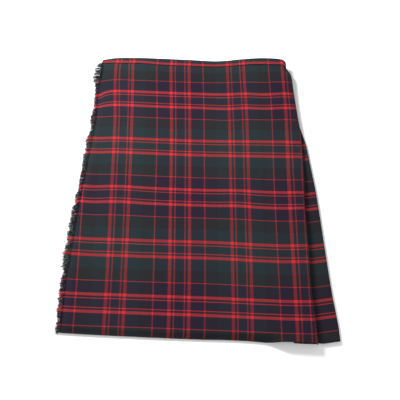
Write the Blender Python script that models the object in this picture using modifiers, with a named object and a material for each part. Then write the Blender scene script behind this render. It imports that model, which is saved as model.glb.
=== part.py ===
"""A man's kilt laid flat on its pleated back, with the fringed over apron on top.

Metres, +Z up. +Y points to the waist and +X to the wearer's left. The kilt lies on z = 0.
Every cloth piece is an open sheet with one wall thickness. It is lofted through rows that are
set by their drop below one level line at the waist.
"""

import math
import random
from typing import NamedTuple

import bmesh
import bpy

MM = 0.001

# Driving dimensions, in millimetres
CLOTH = 1.0                # wall of the woollen cloth
SEAM = 0.3                 # clearance between two pieces
PITCH = CLOTH + SEAM       # from one layer of cloth to the next
HALF = CLOTH / 2.0
LENGTH = 620.2             # from the line at the waist to the lowest point of the hem
WAIST_TOP = 3.0            # from that line to the highest point of the waistband
MIDDLE = (WAIST_TOP + LENGTH) / 2.0
CENTRE_X = -0.16            # moves the outline so that its box is centred on the origin

PLEAT_COUNT = 24
PLEAT_CLEAR = 1.5 * PITCH  # from a pleat's boundary to the centre of its fold
PLEAT_LIP = 3.0            # floor strip after the last pleat
PLEAT_WAIST_LIFT = 1.85    # room for the waistband under the tops of the pleats
PLEAT_WAIST_END = 60.0     # drop where the pleats reach the floor
PLEAT_DROPS = (PLEAT_WAIST_END, 171.0)

BACK_BAND_TOP = 19.0
BACK_BAND_HEIGHT = 16.0
BAND_TURNOVER = 10.0       # depth of the waistband's inner leaf
BACK_BAND_GAP = 2.87       # half the distance between the leaves round the pleats
BAND_GAP = PITCH           # half the distance between the leaves round one cloth
BACK_BAND_Z = HALF + BACK_BAND_GAP
UNDER_BAND_Z = BACK_BAND_Z + BACK_BAND_GAP + BAND_GAP + PITCH
FRONT_BAND_Z = UNDER_BAND_Z + 2.0 * BAND_GAP + PITCH
RIGHT_TURN_X = 170.5       # where the front waistband starts to turn round the side
LEFT_TURN_X = -172.3
UNDER_BAND_SEAM = 8.0      # from the left turn to the under waistband
BACK_BAND_COLUMNS = (170.5, 163.0, 125.0, 80.0, 35.0, -10.0, -55.0, -100.0, -150.0, -159.0, -168.0)
TURN_SEAM_ANGLE = 3.0      # half the seam between the waistbands at the right turn, in degrees
TURN_TOP = 11.0            # edges of the waistband at that seam
TURN_BOTTOM = 27.0

UNDER_APRON_Z = 4.4        # mid height of the under apron on the pleats
APRON_Z = 5.9              # mid height of the over apron on the under apron
UNDERLAY_STEP = 1.4        # extra height over the turned-under right edge
UNDERLAY_WIDTH = 50.0      # from the crease to the inner fold of the side pleat
UNDERLAY_SEAM = 42.0       # from the crease to the seam with the side pleat
UNDERLAY_INSETS = (5.0, 10.0, 20.0, 30.0, UNDERLAY_SEAM - PITCH / 2.0)
UNDERLAY_RAMP = (2.0, 34.0)  # from the crease, where the turned-under edge sinks to the side pleat
UNDERLAY_SHORT = 1.5       # how much the turned-under hem stays behind the top panel's
UNDERLAY_SHARE = 0.3       # part of the rise at the waist that lies under the turned-under edge
SIDE_SHARE = 0.4           # and under the side pleat's upper leaf
SIDE_FOLD_INSET = 3.0
SIDE_HEM = 617.9           # drop of the side pleat's hem at the crease
SIDE_HEM_RISE = 0.17       # and how fast it rises from there to the side fold
SIDE_HEM_INSIDE = 0.12     # and to its inner fold
SIDE_HEM_X = 205.0
HEM_POWER = 8              # how late the rows bend to the line of the hem
UNDER_APRON_INSET = 14.0   # from the over apron's fringed edge to the fold below it
LEFT_EDGE_Z = 2.5          # mid height of the fringed edge
LEFT_EDGE_DROOP = 12.0     # width of the strip that sinks to it
LEFT_EDGE_START = 110.0    # drop where the whole strip lies low
HEM_EDGE_Z = 2.6           # mid height of the over apron's hem
HEM_DROOP = 12.0
STEP_RAMP = (126.0, 146.0)   # where, across, the top panel climbs the turned-under edge
HEM_RAMP = (112.0, 150.0)  # where, across, the hem stops sinking
HIP_RISE = 5.0             # the swell at the wearer's left hip
HIP_X = 165.0
HIP_HALF_WIDTH = 78.0
HIP_HALF_LENGTH = 75.0
CREASE_ROLL = 0.3          # share of the rise at the waist that rolls off beside the crease
CREASE_ROLL_WIDTH = 16.0
CREASE_ROLL_START = (20.0, 40.0)
CREASE_LIFT = 5.0          # how far the right crease stands up at the hem
CREASE_LIFT_START = 230.0
CREASE_LIFT_WIDTH = 45.0
RIDGE_RAMP = (50.0, 100.0)  # drops between which the soft swells begin
BAND_ZONE = 36.0           # above this drop, heights follow the waistband
BODY_START = 95.0          # below this drop, heights follow the layers of the skirt
UNDER_APRON_START = 80.0   # the same for the under apron
UNDER_APRON_DROPS = (      # rows of the fold and of the panel, whose top is in the waistband
    (BAND_ZONE + 2.0, BACK_BAND_TOP + BAND_GAP + 0.9),
    (48.0, BAND_ZONE),
    (60.0, 60.0),
    (82.0, 82.0),
    (171.0, 171.0),
    (390.0, 390.0),
    (LENGTH, LENGTH),
)

APRON_MARGIN = (0.0, 6.0, 12.0, 24.0)  # columns beside both edges
APRON_SPANS = 15
APRON_SHARES = (0.0, 0.03, 0.06, 0.09, 0.13, 0.18, 0.24, 0.32, 0.41, 0.51, 0.62, 0.73, 0.83, 0.92)
LAST_SHARE_ABOVE_HEM = 30.0
HEM_STEPS = (HEM_DROOP, 0.5 * HEM_DROOP, 0.0)
APRON_TUCK = 1.9           # from the fold of the waistband to the edge of the apron inside it
BESIDE_BAND_DROP = 29.0    # top edge of the apron beside the end of the waistband
BESIDE_BAND_X = 180.0
BESIDE_BAND_RISE = 0.8
BESIDE_RAMP = (163.0, 168.0)

FRINGE_STRANDS = 160
FRINGE_TOP = 30.0
FRINGE_CLEAR = 0.15        # more than a seam, where the apron's edge slopes
FRINGE_LENGTH = 10.5
FRINGE_SEED = 7
BACKING_SPAN = (0.06, 0.94)  # share of the apron's first column that the fringe's backing covers
STRAND_ROOT = (0.14, 0.86)   # share of the spacing that a strand's root takes
STRAND_REACH = (0.85, 1.12)
STRAND_SWEEP = 0.08        # mean slant towards the hem
STRAND_WAVE = 0.14         # slow change of the slant along the edge
STRAND_WAVE_STEP = 0.31
STRAND_STRAY = 0.05
STRAND_TIP = 0.5           # thickness of the tip as a share of the root's
STRAND_FALL = 0.32         # fall towards the floor for each unit of reach
STRAND_FLOOR = 0.6         # lowest height of a tip's centre


class EdgeRow(NamedTuple):
    """Where an edge runs at one drop below the waist."""

    drop: float
    x: float


class BandRow(NamedTuple):
    """Upper and lower edge of the front waistband at one place across."""

    x: float
    top: float
    bottom: float


class HemRow(NamedTuple):
    """Drop of a hem at one place across."""

    x: float
    drop: float


class Ridge(NamedTuple):
    """A long soft swell in the over apron."""

    x: float
    drop: float
    lean: float
    half_width: float
    half_length: float
    height: float


FRINGED_EDGE = (
    EdgeRow(drop=0.0, x=-190.0),
    EdgeRow(drop=24.0, x=-191.5),
    EdgeRow(drop=73.0, x=-196.4),
    EdgeRow(drop=150.0, x=-197.3),
    EdgeRow(drop=225.0, x=-205.2),
    EdgeRow(drop=298.0, x=-213.9),
    EdgeRow(drop=367.0, x=-223.7),
    EdgeRow(drop=450.0, x=-231.5),
    EdgeRow(drop=545.0, x=-235.4),
    EdgeRow(drop=LENGTH, x=-237.4),
)
CREASED_EDGE = (
    EdgeRow(drop=0.0, x=168.0),
    EdgeRow(drop=16.0, x=174.8),
    EdgeRow(drop=28.0, x=180.6),
    EdgeRow(drop=38.0, x=184.8),
    EdgeRow(drop=50.0, x=188.1),
    EdgeRow(drop=66.0, x=190.2),
    EdgeRow(drop=96.0, x=193.0),
    EdgeRow(drop=130.0, x=195.6),
    EdgeRow(drop=171.0, x=200.4),
    EdgeRow(drop=281.0, x=202.3),
    EdgeRow(drop=343.0, x=200.0),
    EdgeRow(drop=443.0, x=202.8),
    EdgeRow(drop=538.0, x=205.7),
    EdgeRow(drop=LENGTH, x=207.9),
)
SIDE_FOLD = (
    EdgeRow(drop=30.0, x=176.0),
    EdgeRow(drop=60.0, x=185.0),
    EdgeRow(drop=100.0, x=190.5),
    EdgeRow(drop=145.0, x=197.2),
    EdgeRow(drop=163.0, x=201.5),
    EdgeRow(drop=182.0, x=206.2),
    EdgeRow(drop=204.0, x=211.2),
    EdgeRow(drop=236.0, x=215.0),
    EdgeRow(drop=313.0, x=224.0),
    EdgeRow(drop=415.0, x=231.7),
    EdgeRow(drop=512.0, x=239.0),
    EdgeRow(drop=589.0, x=246.8),
    EdgeRow(drop=LENGTH, x=248.3),
)
PLEATS_LEFT = (
    EdgeRow(drop=BACK_BAND_TOP, x=-145.0),
    EdgeRow(drop=60.0, x=-156.0),
    EdgeRow(drop=171.0, x=-176.0),
    EdgeRow(drop=LENGTH, x=-215.0),
)
PLEATS_RIGHT = (
    EdgeRow(drop=BACK_BAND_TOP, x=158.0),
    EdgeRow(drop=60.0, x=164.0),
    EdgeRow(drop=171.0, x=178.0),
    EdgeRow(drop=LENGTH, x=224.0),
)
UNDER_APRON_EDGE = (
    EdgeRow(drop=BACK_BAND_TOP, x=112.0),
    EdgeRow(drop=171.0, x=118.0),
    EdgeRow(drop=LENGTH, x=126.0),
)
FRONT_BAND = (
    BandRow(x=-190.6, top=23.2, bottom=27.6),
    BandRow(x=-186.5, top=20.5, bottom=27.2),
    BandRow(x=-176.0, top=16.6, bottom=26.6),
    BandRow(x=-160.3, top=13.6, bottom=26.0),
    BandRow(x=-112.4, top=11.3, bottom=25.3),
    BandRow(x=-14.8, top=11.8, bottom=25.0),
    BandRow(x=33.0, top=12.9, bottom=25.0),
    BandRow(x=57.4, top=10.9, bottom=24.0),
    BandRow(x=81.8, top=7.2, bottom=21.5),
    BandRow(x=106.2, top=4.5, bottom=19.5),
    BandRow(x=131.6, top=3.0, bottom=18.5),
    BandRow(x=156.0, top=3.7, bottom=18.0),
    BandRow(x=RIGHT_TURN_X, top=5.2, bottom=18.5),
)
APRON_HEM = (
    HemRow(x=-240.0, drop=607.5),
    HemRow(x=-200.0, drop=609.4),
    HemRow(x=-100.0, drop=611.8),
    HemRow(x=0.0, drop=613.9),
    HemRow(x=88.0, drop=615.0),
    HemRow(x=150.0, drop=617.2),
    HemRow(x=190.0, drop=619.7),
    HemRow(x=210.0, drop=LENGTH),
)
PLEATS_HEM = (
    HemRow(x=-215.0, drop=600.0),
    HemRow(x=224.0, drop=609.7),
)
UNDER_APRON_HEM = (
    HemRow(x=-225.0, drop=594.5),
    HemRow(x=126.0, drop=601.5),
)
RIDGES = (
    Ridge(x=-120.0, drop=150.0, lean=0.10, half_width=24.0, half_length=90.0, height=0.9),
    Ridge(x=-35.0, drop=395.0, lean=-0.05, half_width=30.0, half_length=130.0, height=1.1),
    Ridge(x=62.0, drop=180.0, lean=0.16, half_width=26.0, half_length=110.0, height=1.3),
    Ridge(x=118.0, drop=430.0, lean=0.08, half_width=28.0, half_length=120.0, height=1.0),
    Ridge(x=-165.0, drop=470.0, lean=-0.12, half_width=18.0, half_length=80.0, height=0.8),
)


def smooth(value, start, end):
    """0 at start, 1 at end, level at both."""
    step = min(max((value - start) / (end - start), 0.0), 1.0)
    return step * step * (3.0 - 2.0 * step)


def mix(first, second, share):
    """The value that lies at a share of the way from first to second."""
    return first + (second - first) * share


def straight(rows, at):
    """Reads the second column of rows at a place in the first, along straight lines."""
    for low, high in zip(rows[:-1], rows[1:]):
        if at <= high[0]:
            break
    return mix(low[1], high[1], (at - low[0]) / (high[0] - low[0]))


def curve(rows, at, column=1):
    """Reads a column of rows at a place in the first column, along a smooth curve."""
    last = len(rows) - 1
    at = min(max(at, rows[0][0]), rows[last][0])
    index = 0
    while index < last - 1 and at > rows[index + 1][0]:
        index += 1

    def slope(row):
        before = rows[max(row - 1, 0)]
        after = rows[min(row + 1, last)]
        return (after[column] - before[column]) / (after[0] - before[0])

    low = rows[index]
    high = rows[index + 1]
    span = high[0] - low[0]
    t = (at - low[0]) / span
    bend_low = (1.0 - t) ** 2 * t * span * slope(index)
    bend_high = (t - 1.0) * t * t * span * slope(index + 1)
    return mix(low[column], high[column], t * t * (3.0 - 2.0 * t)) + bend_low + bend_high


def hip_swell(x, drop):
    """Height added at the wearer's left hip, where the layers below are thickest."""
    below = max(drop, BAND_ZONE) - BAND_ZONE
    across = (x - HIP_X) / HIP_HALF_WIDTH
    return HIP_RISE * math.exp(-across * across - (below / HIP_HALF_LENGTH) ** 2)


def crease_lift(x, drop):
    """Height added where the creased edge stands off the side pleat."""
    from_crease = (curve(CREASED_EDGE, drop) - x) / CREASE_LIFT_WIDTH
    grown = smooth(drop, CREASE_LIFT_START, LENGTH)
    return CREASE_LIFT * grown * math.exp(-from_crease * from_crease)


def ridges(x, drop):
    """Height added by the soft swells."""
    total = 0.0
    for ridge in RIDGES:
        along = (drop - ridge.drop) / ridge.half_length
        across = (x - ridge.x - ridge.lean * (drop - ridge.drop)) / ridge.half_width
        total += ridge.height * math.exp(-along * along - across * across)
    return total * smooth(drop, *RIDGE_RAMP)


def apron_height(x, drop):
    """Mid height of the over apron's top panel."""
    at_waist = 1.0 - smooth(drop, BAND_ZONE, BODY_START)
    body = APRON_Z + UNDERLAY_STEP * smooth(x, *STEP_RAMP)
    height = mix(body, FRONT_BAND_Z, at_waist) + hip_swell(x, drop) + crease_lift(x, drop)
    height += ridges(x, drop)
    roll = 1.0 - smooth(curve(CREASED_EDGE, drop) - x, 0.0, CREASE_ROLL_WIDTH)
    height -= CREASE_ROLL * roll * side_rise(x, drop) * smooth(drop, *CREASE_ROLL_START)
    below_band = smooth(drop, BAND_ZONE, LEFT_EDGE_START)
    from_fringe = x - curve(FRINGED_EDGE, drop)
    edge_height = mix(FRONT_BAND_Z, LEFT_EDGE_Z, below_band)
    height = mix(edge_height, height, smooth(from_fringe, 0.0, LEFT_EDGE_DROOP))
    from_hem = curve(APRON_HEM, x) - drop
    hem_height = mix(HEM_EDGE_Z, height, smooth(x, *HEM_RAMP))
    return mix(hem_height, height, smooth(from_hem, 0.0, HEM_DROOP))


def side_rise(x, drop):
    """How far the over apron stands above its lowest level beside the crease, at the waist."""
    at_waist = 1.0 - smooth(drop, BAND_ZONE, BODY_START)
    level = APRON_Z + UNDERLAY_STEP
    return mix(level, FRONT_BAND_Z, at_waist) + hip_swell(x, drop) - level


def side_pleat_height(x, drop):
    """Mid height of the side pleat's upper leaf."""
    return UNDER_APRON_Z + SIDE_SHARE * side_rise(x, drop)


def underlay_height(x, drop):
    """Mid height of the over apron's edge where it is turned under."""
    from_crease = curve(CREASED_EDGE, drop) - x
    near = apron_height(x, drop) - PITCH
    far = side_pleat_height(x, drop) + PITCH + UNDERLAY_SHARE * side_rise(x, drop)
    return mix(near, max(far, mix(far, near, 0.5)), smooth(from_crease, *UNDERLAY_RAMP))


def pleat_lift(drop):
    """How far the pleats stand off the floor, above the waistband's leaf."""
    share = (drop - BACK_BAND_TOP) / (PLEAT_WAIST_END - BACK_BAND_TOP)
    return PLEAT_WAIST_LIFT * max(0.0, 1.0 - share)


def arc(centre_x, centre_z, radius, start, end, steps):
    """Points on an arc of degrees, without its two ends."""
    points = []
    for step in range(1, steps):
        angle = math.radians(mix(start, end, step / steps))
        points.append((centre_x + radius * math.cos(angle), centre_z + radius * math.sin(angle)))
    return points


def place(x, drop, z):
    """The point in metres."""
    return ((x + CENTRE_X) * MM, (MIDDLE - drop) * MM, z * MM)


def cloth_material(name, colour):
    """Plain matt cloth."""
    material = bpy.data.materials.new(name)
    material.use_nodes = True
    shader = material.node_tree.nodes["Principled BSDF"]
    shader.inputs["Base Color"].default_value = (*colour, 1.0)
    shader.inputs["Roughness"].default_value = 0.9
    shader.inputs["Metallic"].default_value = 0.0
    material.diffuse_color = (*colour, 1.0)
    return material


def add_object(name, mesh, colour):
    """Gives the mesh its material and puts it into the kilt's collection."""
    mesh.materials.append(cloth_material(name + "_cloth", colour))
    piece = bpy.data.objects.new(name, mesh)
    KILT.objects.link(piece)
    return piece


def add_sheet(name, rows, colour):
    """Lofts an open sheet through rows of equally many points and gives it its wall."""
    width = len(rows[0])
    verts = [point for row in rows for point in row]
    faces = []
    for row in range(len(rows) - 1):
        for column in range(width - 1):
            corner = row * width + column
            faces.append((corner, corner + width, corner + width + 1, corner + 1))
    mesh = bpy.data.meshes.new(name)
    mesh.from_pydata(verts, [], faces)
    mesh.update()
    mesh.shade_smooth()
    piece = add_object(name, mesh, colour)
    wall = piece.modifiers.new("cloth wall", "SOLIDIFY")
    wall.thickness = CLOTH * MM
    wall.offset = 0.0
    wall.use_even_offset = True
    wall.use_quality_normals = True
    return piece


def pleat_section(drop, left, right):
    """One row across all the knife pleats: outer face, fold back, fold forward, step down."""
    low = HALF + pleat_lift(drop)
    middle = low + PITCH
    high = middle + PITCH
    bend = PITCH / 2.0
    points = [(left, low)]
    for index in range(PLEAT_COUNT):
        start = mix(left, right, index / PLEAT_COUNT)
        end = mix(left, right, (index + 1) / PLEAT_COUNT)
        edge = end - PLEAT_CLEAR
        inner = start + PLEAT_CLEAR
        points.append((edge, low))
        points += arc(edge, low + bend, bend, -90.0, 90.0, 3)
        points.append((edge, middle))
        points.append((inner, middle))
        points += arc(inner, middle + bend, bend, 270.0, 90.0, 3)
        points.append((inner, high))
        points.append((end - bend, high))
        points += arc(end - bend, high - bend, bend, 90.0, 0.0, 2)
        points.append((end, high - bend))
        points.append((end, low + bend))
        points += arc(end + bend, low + bend, bend, 180.0, 270.0, 2)
        points.append((end + bend, low))
    points.append((right + PLEAT_LIP, low))
    return points


def build_pleats():
    """The pleated back. Its hem lies a little short of the over apron's."""
    rows = []
    for drop in (BACK_BAND_TOP + BACK_BAND_GAP + SEAM, *PLEAT_DROPS):
        section = pleat_section(drop, straight(PLEATS_LEFT, drop), straight(PLEATS_RIGHT, drop))
        rows.append([place(x, drop, z) for x, z in section])
    left = straight(PLEATS_LEFT, PLEATS_HEM[0].drop)
    right = straight(PLEATS_RIGHT, PLEATS_HEM[1].drop)
    section = pleat_section(PLEATS_HEM[1].drop, left, right)
    rows.append([place(x, straight(PLEATS_HEM, x), z) for x, z in section])
    return add_sheet("pleats", rows, (0.025, 0.05, 0.045))


def build_side_pleat():
    """The deep pleat that joins the over apron to the back, round the wearer's left side."""
    rows = []
    top = BAND_ZONE + 2.0
    crease_drops = [points[-1][1] for points in apron_grid()]
    for drop in [top] + [drop for drop in crease_drops if drop > top + 5.0]:
        crease = curve(CREASED_EDGE, drop)
        inner = crease - UNDERLAY_WIDTH
        fold = curve(SIDE_FOLD, drop)
        upper = side_pleat_height(inner, drop)
        lower_seam = underlay_height(inner, drop)
        bend = (lower_seam - upper) / 2.0
        seam_x = crease - UNDERLAY_SEAM - 2.0 * SEAM
        section = [(seam_x, underlay_height(seam_x, drop))]
        section.append((inner + bend, lower_seam))
        section += arc(inner + bend, upper + bend, bend, 90.0, 270.0, 4)
        section.append((inner + bend, upper))
        turn = (side_pleat_height(fold - SIDE_FOLD_INSET, drop) - HALF) / 2.0
        for step in range(1, 5):
            x = mix(inner + bend, fold - turn - HALF, step / 4.0)
            section.append((x, side_pleat_height(x, drop)))
        last_x, last_z = section[-1]
        turn = (last_z - HALF) / 2.0
        section += arc(last_x, HALF + turn, turn, 90.0, -90.0, 6)
        section.append((last_x, HALF))
        seam = straight(PLEATS_RIGHT, drop) + PLEAT_LIP + 2.0 * SEAM
        section.append((seam, HALF))
        rows.append([place(x, side_drop(x, drop), z) for x, z in section])
    return add_sheet("side_pleat", rows, (0.02, 0.03, 0.05))


def side_drop(x, drop):
    """Towards the hem the rows rise to the side fold, because the pleat's cloth is turned."""
    hem = SIDE_HEM - SIDE_HEM_RISE * max(0.0, x - SIDE_HEM_X)
    hem -= SIDE_HEM_INSIDE * max(0.0, SIDE_HEM_X - x)
    return drop - (LENGTH - hem) * (drop / LENGTH) ** HEM_POWER


def apron_grid():
    """Rows of (x, drop, mid height) over the top panel, from the waist to the hem."""
    columns = 2 * len(APRON_MARGIN) + APRON_SPANS - 1
    grid = []
    for row in range(len(APRON_SHARES) + len(HEM_STEPS)):
        grid.append([apron_point(column, columns - 1, row) for column in range(columns)])
    return grid


def build_over_apron():
    """Top panel, pressed crease and the edge that is turned under beside the side pleat."""
    rows = []
    for points in apron_grid():
        crease_x, crease_drop, _ = points[-1]
        high = apron_height(crease_x, crease_drop)
        bend = PITCH / 2.0
        turned = []
        for x, z in arc(crease_x, high - bend, bend, 90.0, -90.0, 3):
            turned.append((x, crease_drop, z))
        turned.append((crease_x, crease_drop, high - PITCH))
        for inset in UNDERLAY_INSETS:
            x = crease_x - inset
            drop = underlay_drop(x, crease_drop)
            turned.append((x, drop, underlay_height(x, drop)))
        rows.append([place(*point) for point in points + turned])
    return add_sheet("over_apron", rows, (0.45, 0.03, 0.045))


def underlay_drop(x, crease_drop):
    """Near the hem the turned-under edge stays just short of the panel above it."""
    shorter = LENGTH - curve(APRON_HEM, x) + UNDERLAY_SHORT
    return crease_drop - shorter * (crease_drop / LENGTH) ** HEM_POWER


def apron_point(column, last, row):
    """A point of the top panel, counted from the fringed edge and from the waist."""

    def across(drop):
        left = curve(FRINGED_EDGE, drop)
        right = curve(CREASED_EDGE, drop) - PITCH / 2.0
        if column < len(APRON_MARGIN):
            return left + APRON_MARGIN[column]
        if column > last - len(APRON_MARGIN):
            return right - APRON_MARGIN[last - column]
        inner_left = left + APRON_MARGIN[-1]
        inner_right = right - APRON_MARGIN[-1]
        return mix(inner_left, inner_right, (column - len(APRON_MARGIN) + 1) / APRON_SPANS)

    top = apron_top(across(FRINGE_TOP))
    hem = curve(APRON_HEM, across(LENGTH))
    if row < len(APRON_SHARES):
        last_drop = hem - LAST_SHARE_ABOVE_HEM
        drop = mix(top, last_drop, APRON_SHARES[row] / APRON_SHARES[-1])
    else:
        drop = hem - HEM_STEPS[row - len(APRON_SHARES)]
    x = across(drop)
    return (x, drop, apron_height(x, drop))


def apron_top(x):
    """The top edge lies inside the waistband, and below it where the band turns the corner."""
    inside = curve(FRONT_BAND, x, 1) + BAND_GAP + APRON_TUCK
    beside = BESIDE_BAND_DROP - BESIDE_BAND_RISE * max(0.0, BESIDE_BAND_X - x)
    return mix(inside, beside, smooth(x, *BESIDE_RAMP))


def build_under_apron():
    """The last pleat's cloth goes round the wearer's right side and lies under the apron."""
    rows = []
    for low_drop, high_drop in UNDER_APRON_DROPS:
        section = []
        for column in under_apron_columns():
            drop = low_drop if column.low else high_drop
            x, z = column.at(drop)
            if drop == LENGTH:
                drop = straight(UNDER_APRON_HEM, x)
                x, z = column.at(drop)
            section.append(place(x, drop, z))
        rows.append(section)
    return add_sheet("under_apron", rows, (0.03, 0.06, 0.05))


class UnderColumn(NamedTuple):
    """One line of the under apron from waist to hem; low ones stop below the waistband."""

    low: bool
    angle: float
    share: float

    def at(self, drop):
        """The line's place across and mid height."""
        fold = curve(FRINGED_EDGE, drop) + UNDER_APRON_INSET
        upper = under_apron_height(drop)
        bend = (UNDER_APRON_Z - HALF) / 2.0
        centre = fold + bend + HALF
        if self.share < 0.0:
            seam = straight(PLEATS_LEFT, drop) - SEAM
            return (mix(seam, centre, 1.0 + self.share), HALF)
        if self.share == 0.0:
            angle = math.radians(self.angle)
            x = centre + bend * math.cos(angle)
            return (x, mix(HALF, upper, 0.5 + 0.5 * math.sin(angle)))
        edge = curve(UNDER_APRON_EDGE, drop)
        return (mix(centre, edge, self.share), upper)


def under_apron_columns():
    """From the seam with the pleats, round the fold and across to the straight edge."""
    columns = [UnderColumn(low=True, angle=0.0, share=-1.0)]
    for step in range(6):
        columns.append(UnderColumn(low=True, angle=270.0 - 36.0 * step, share=0.0))
    for step in range(1, 9):
        columns.append(UnderColumn(low=step < 2, angle=0.0, share=(step - 0.6) / 7.4))
    return columns


def under_apron_height(drop):
    """Mid height of the under apron's panel."""
    at_waist = 1.0 - smooth(drop, BAND_ZONE, UNDER_APRON_START)
    return mix(UNDER_APRON_Z, UNDER_BAND_Z, at_waist)


def band_row(x, z, normal, gap, top, bottom, turnover):
    """One section of the waistband: outer leaf, rounded top, shorter inner leaf."""
    section = [(gap, bottom), (gap, mix(top + gap, bottom, 0.5)), (gap, top + gap)]
    section += [(n, top + gap - rise) for n, rise in arc(0.0, 0.0, gap, 0.0, 180.0, 3)]
    section += [(-gap, top + gap), (-gap, top + gap + turnover)]
    normal_x, normal_z = normal
    return [place(x + n * normal_x, drop, z + n * normal_z) for n, drop in section]


def build_front_band():
    """Over the top edge of the over apron, and half way round the wearer's left side."""
    rows = []
    upright = (0.0, 1.0)
    left = FRONT_BAND[0].x
    for step in range(25):
        x = mix(left, RIGHT_TURN_X, step / 24.0)
        top = curve(FRONT_BAND, x, 1) + HALF
        bottom = curve(FRONT_BAND, x, 2)
        turnover = min(BAND_TURNOVER, bottom - top - BAND_GAP)
        z = FRONT_BAND_Z + hip_swell(x, 0.0)
        rows.append(band_row(x, z, upright, BAND_GAP, top, bottom, turnover))
    high = FRONT_BAND_Z + hip_swell(RIGHT_TURN_X, 0.0)
    radius = (high - BACK_BAND_Z) / 2.0
    for step in range(1, 5):
        turn = step / 4.0
        angle = math.radians(mix(90.0, TURN_SEAM_ANGLE, turn))
        normal = (math.cos(angle), math.sin(angle))
        x = RIGHT_TURN_X + radius * normal[0]
        z = BACK_BAND_Z + radius + radius * normal[1]
        top = mix(FRONT_BAND[-1].top, TURN_TOP, turn) + HALF
        bottom = mix(FRONT_BAND[-1].bottom, TURN_BOTTOM, turn)
        rows.append(band_row(x, z, normal, BAND_GAP, top, bottom, BAND_TURNOVER))
    return add_sheet("waistband_front", rows, (0.02, 0.07, 0.05))


def build_back_band():
    """Runs along the floor under the pleats' tops and turns up at both sides."""
    rows = []
    high = FRONT_BAND_Z + hip_swell(RIGHT_TURN_X, 0.0)
    radius = (high - BACK_BAND_Z) / 2.0
    bottom = BACK_BAND_TOP + BACK_BAND_HEIGHT
    for step in range(4):
        turn = step / 4.0
        angle = math.radians(mix(-TURN_SEAM_ANGLE, -90.0, turn))
        normal = (math.cos(angle), math.sin(angle))
        x = RIGHT_TURN_X + radius * normal[0]
        z = BACK_BAND_Z + radius + radius * normal[1]
        gap = mix(BAND_GAP, BACK_BAND_GAP, turn)
        top = mix(TURN_TOP, BACK_BAND_TOP, turn) + HALF
        edge = mix(TURN_BOTTOM, bottom, turn)
        rows.append(band_row(x, z, normal, gap, top, edge, BAND_TURNOVER))
    down = (0.0, -1.0)
    for x in BACK_BAND_COLUMNS:
        gap = mix(BAND_GAP, BACK_BAND_GAP, smooth(x, BACK_BAND_COLUMNS[-1], BACK_BAND_COLUMNS[-3]))
        z = HALF + gap
        rows.append(band_row(x, z, down, gap, BACK_BAND_TOP + HALF, bottom, BAND_TURNOVER))
    centre = (HALF + BAND_GAP + UNDER_BAND_Z) / 2.0
    radius = UNDER_BAND_Z - centre
    for step in range(7):
        angle = math.radians(mix(270.0, 90.0, step / 6.0))
        normal = (math.cos(angle), math.sin(angle))
        x = LEFT_TURN_X + radius * normal[0]
        z = centre + radius * normal[1]
        rows.append(band_row(x, z, normal, BAND_GAP, BACK_BAND_TOP + HALF, bottom, BAND_TURNOVER))
    x = LEFT_TURN_X + UNDER_BAND_SEAM
    upright = (0.0, 1.0)
    top = BACK_BAND_TOP + HALF
    rows.append(band_row(x, UNDER_BAND_Z, upright, BAND_GAP, top, bottom, BAND_TURNOVER))
    return add_sheet("waistband_back", rows, (0.02, 0.06, 0.045))


def build_under_band():
    """Over the top edge of the under apron, from the left turn to its straight edge."""
    rows = []
    bottom = BACK_BAND_TOP + BACK_BAND_HEIGHT
    top = BACK_BAND_TOP + HALF
    start = LEFT_TURN_X + UNDER_BAND_SEAM + SEAM
    for step in range(8):
        x = mix(start, UNDER_APRON_EDGE[0].x + 1.0, step / 7.0)
        upright = (0.0, 1.0)
        rows.append(band_row(x, UNDER_BAND_Z, upright, BAND_GAP, top, bottom, BAND_TURNOVER))
    return add_sheet("waistband_under", rows, (0.02, 0.05, 0.04))


def panel_point(grid, column, drop):
    """The top panel's mid surface on one column's line, between its rows."""
    lines = [points[column] for points in grid]
    for upper, lower in zip(lines[:-1], lines[1:]):
        if drop <= lower[1]:
            break
    share = (drop - upper[1]) / (lower[1] - upper[1])
    return mix(upper[0], lower[0], share), mix(upper[2], lower[2], share)


def build_fringe():
    """A narrow strip under the apron's left edge with tapered strands along its outer side."""
    shuffle = random.Random(FRINGE_SEED)
    grid = apron_grid()
    hem = grid[-1][0][1] - 2.0
    spacing = (hem - FRINGE_TOP) / FRINGE_STRANDS
    body = bmesh.new()

    def ring(drop):
        edge_x, edge_z = panel_point(grid, 0, drop)
        inner_x, inner_z = panel_point(grid, 1, drop)
        corners = []
        outer, inner = BACKING_SPAN
        for inset, side in ((outer, -1), (outer, 1), (inner, 1), (inner, -1)):
            x = mix(edge_x, inner_x, inset)
            z = mix(edge_z, inner_z, inset) - PITCH - FRINGE_CLEAR + side * HALF
            corners.append(body.verts.new(place(x, drop, z)))
        return corners

    rings = []
    for index in range(FRINGE_STRANDS):
        start = FRINGE_TOP + index * spacing
        rings.extend(ring(start + share * spacing) for share in STRAND_ROOT)
    body.faces.new(list(reversed(rings[0])))
    body.faces.new(rings[-1])
    roots = []
    for index, (first, second) in enumerate(zip(rings[:-1], rings[1:])):
        for side in range(4):
            after = (side + 1) % 4
            face = body.faces.new((first[side], second[side], second[after], first[after]))
            if side == 0 and index % 2 == 0:
                roots.append(face)
    for index, face in enumerate(roots):
        reach = FRINGE_LENGTH * shuffle.uniform(*STRAND_REACH)
        sweep = STRAND_SWEEP + STRAND_WAVE * math.sin(STRAND_WAVE_STEP * index)
        sweep += shuffle.uniform(-STRAND_STRAY, STRAND_STRAY)
        grow_strand(body, face, reach, sweep)
    bmesh.ops.recalc_face_normals(body, faces=body.faces[:])
    mesh = bpy.data.meshes.new("fringe")
    body.to_mesh(mesh)
    body.free()
    return add_object("fringe", mesh, (0.02, 0.03, 0.03))


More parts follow.
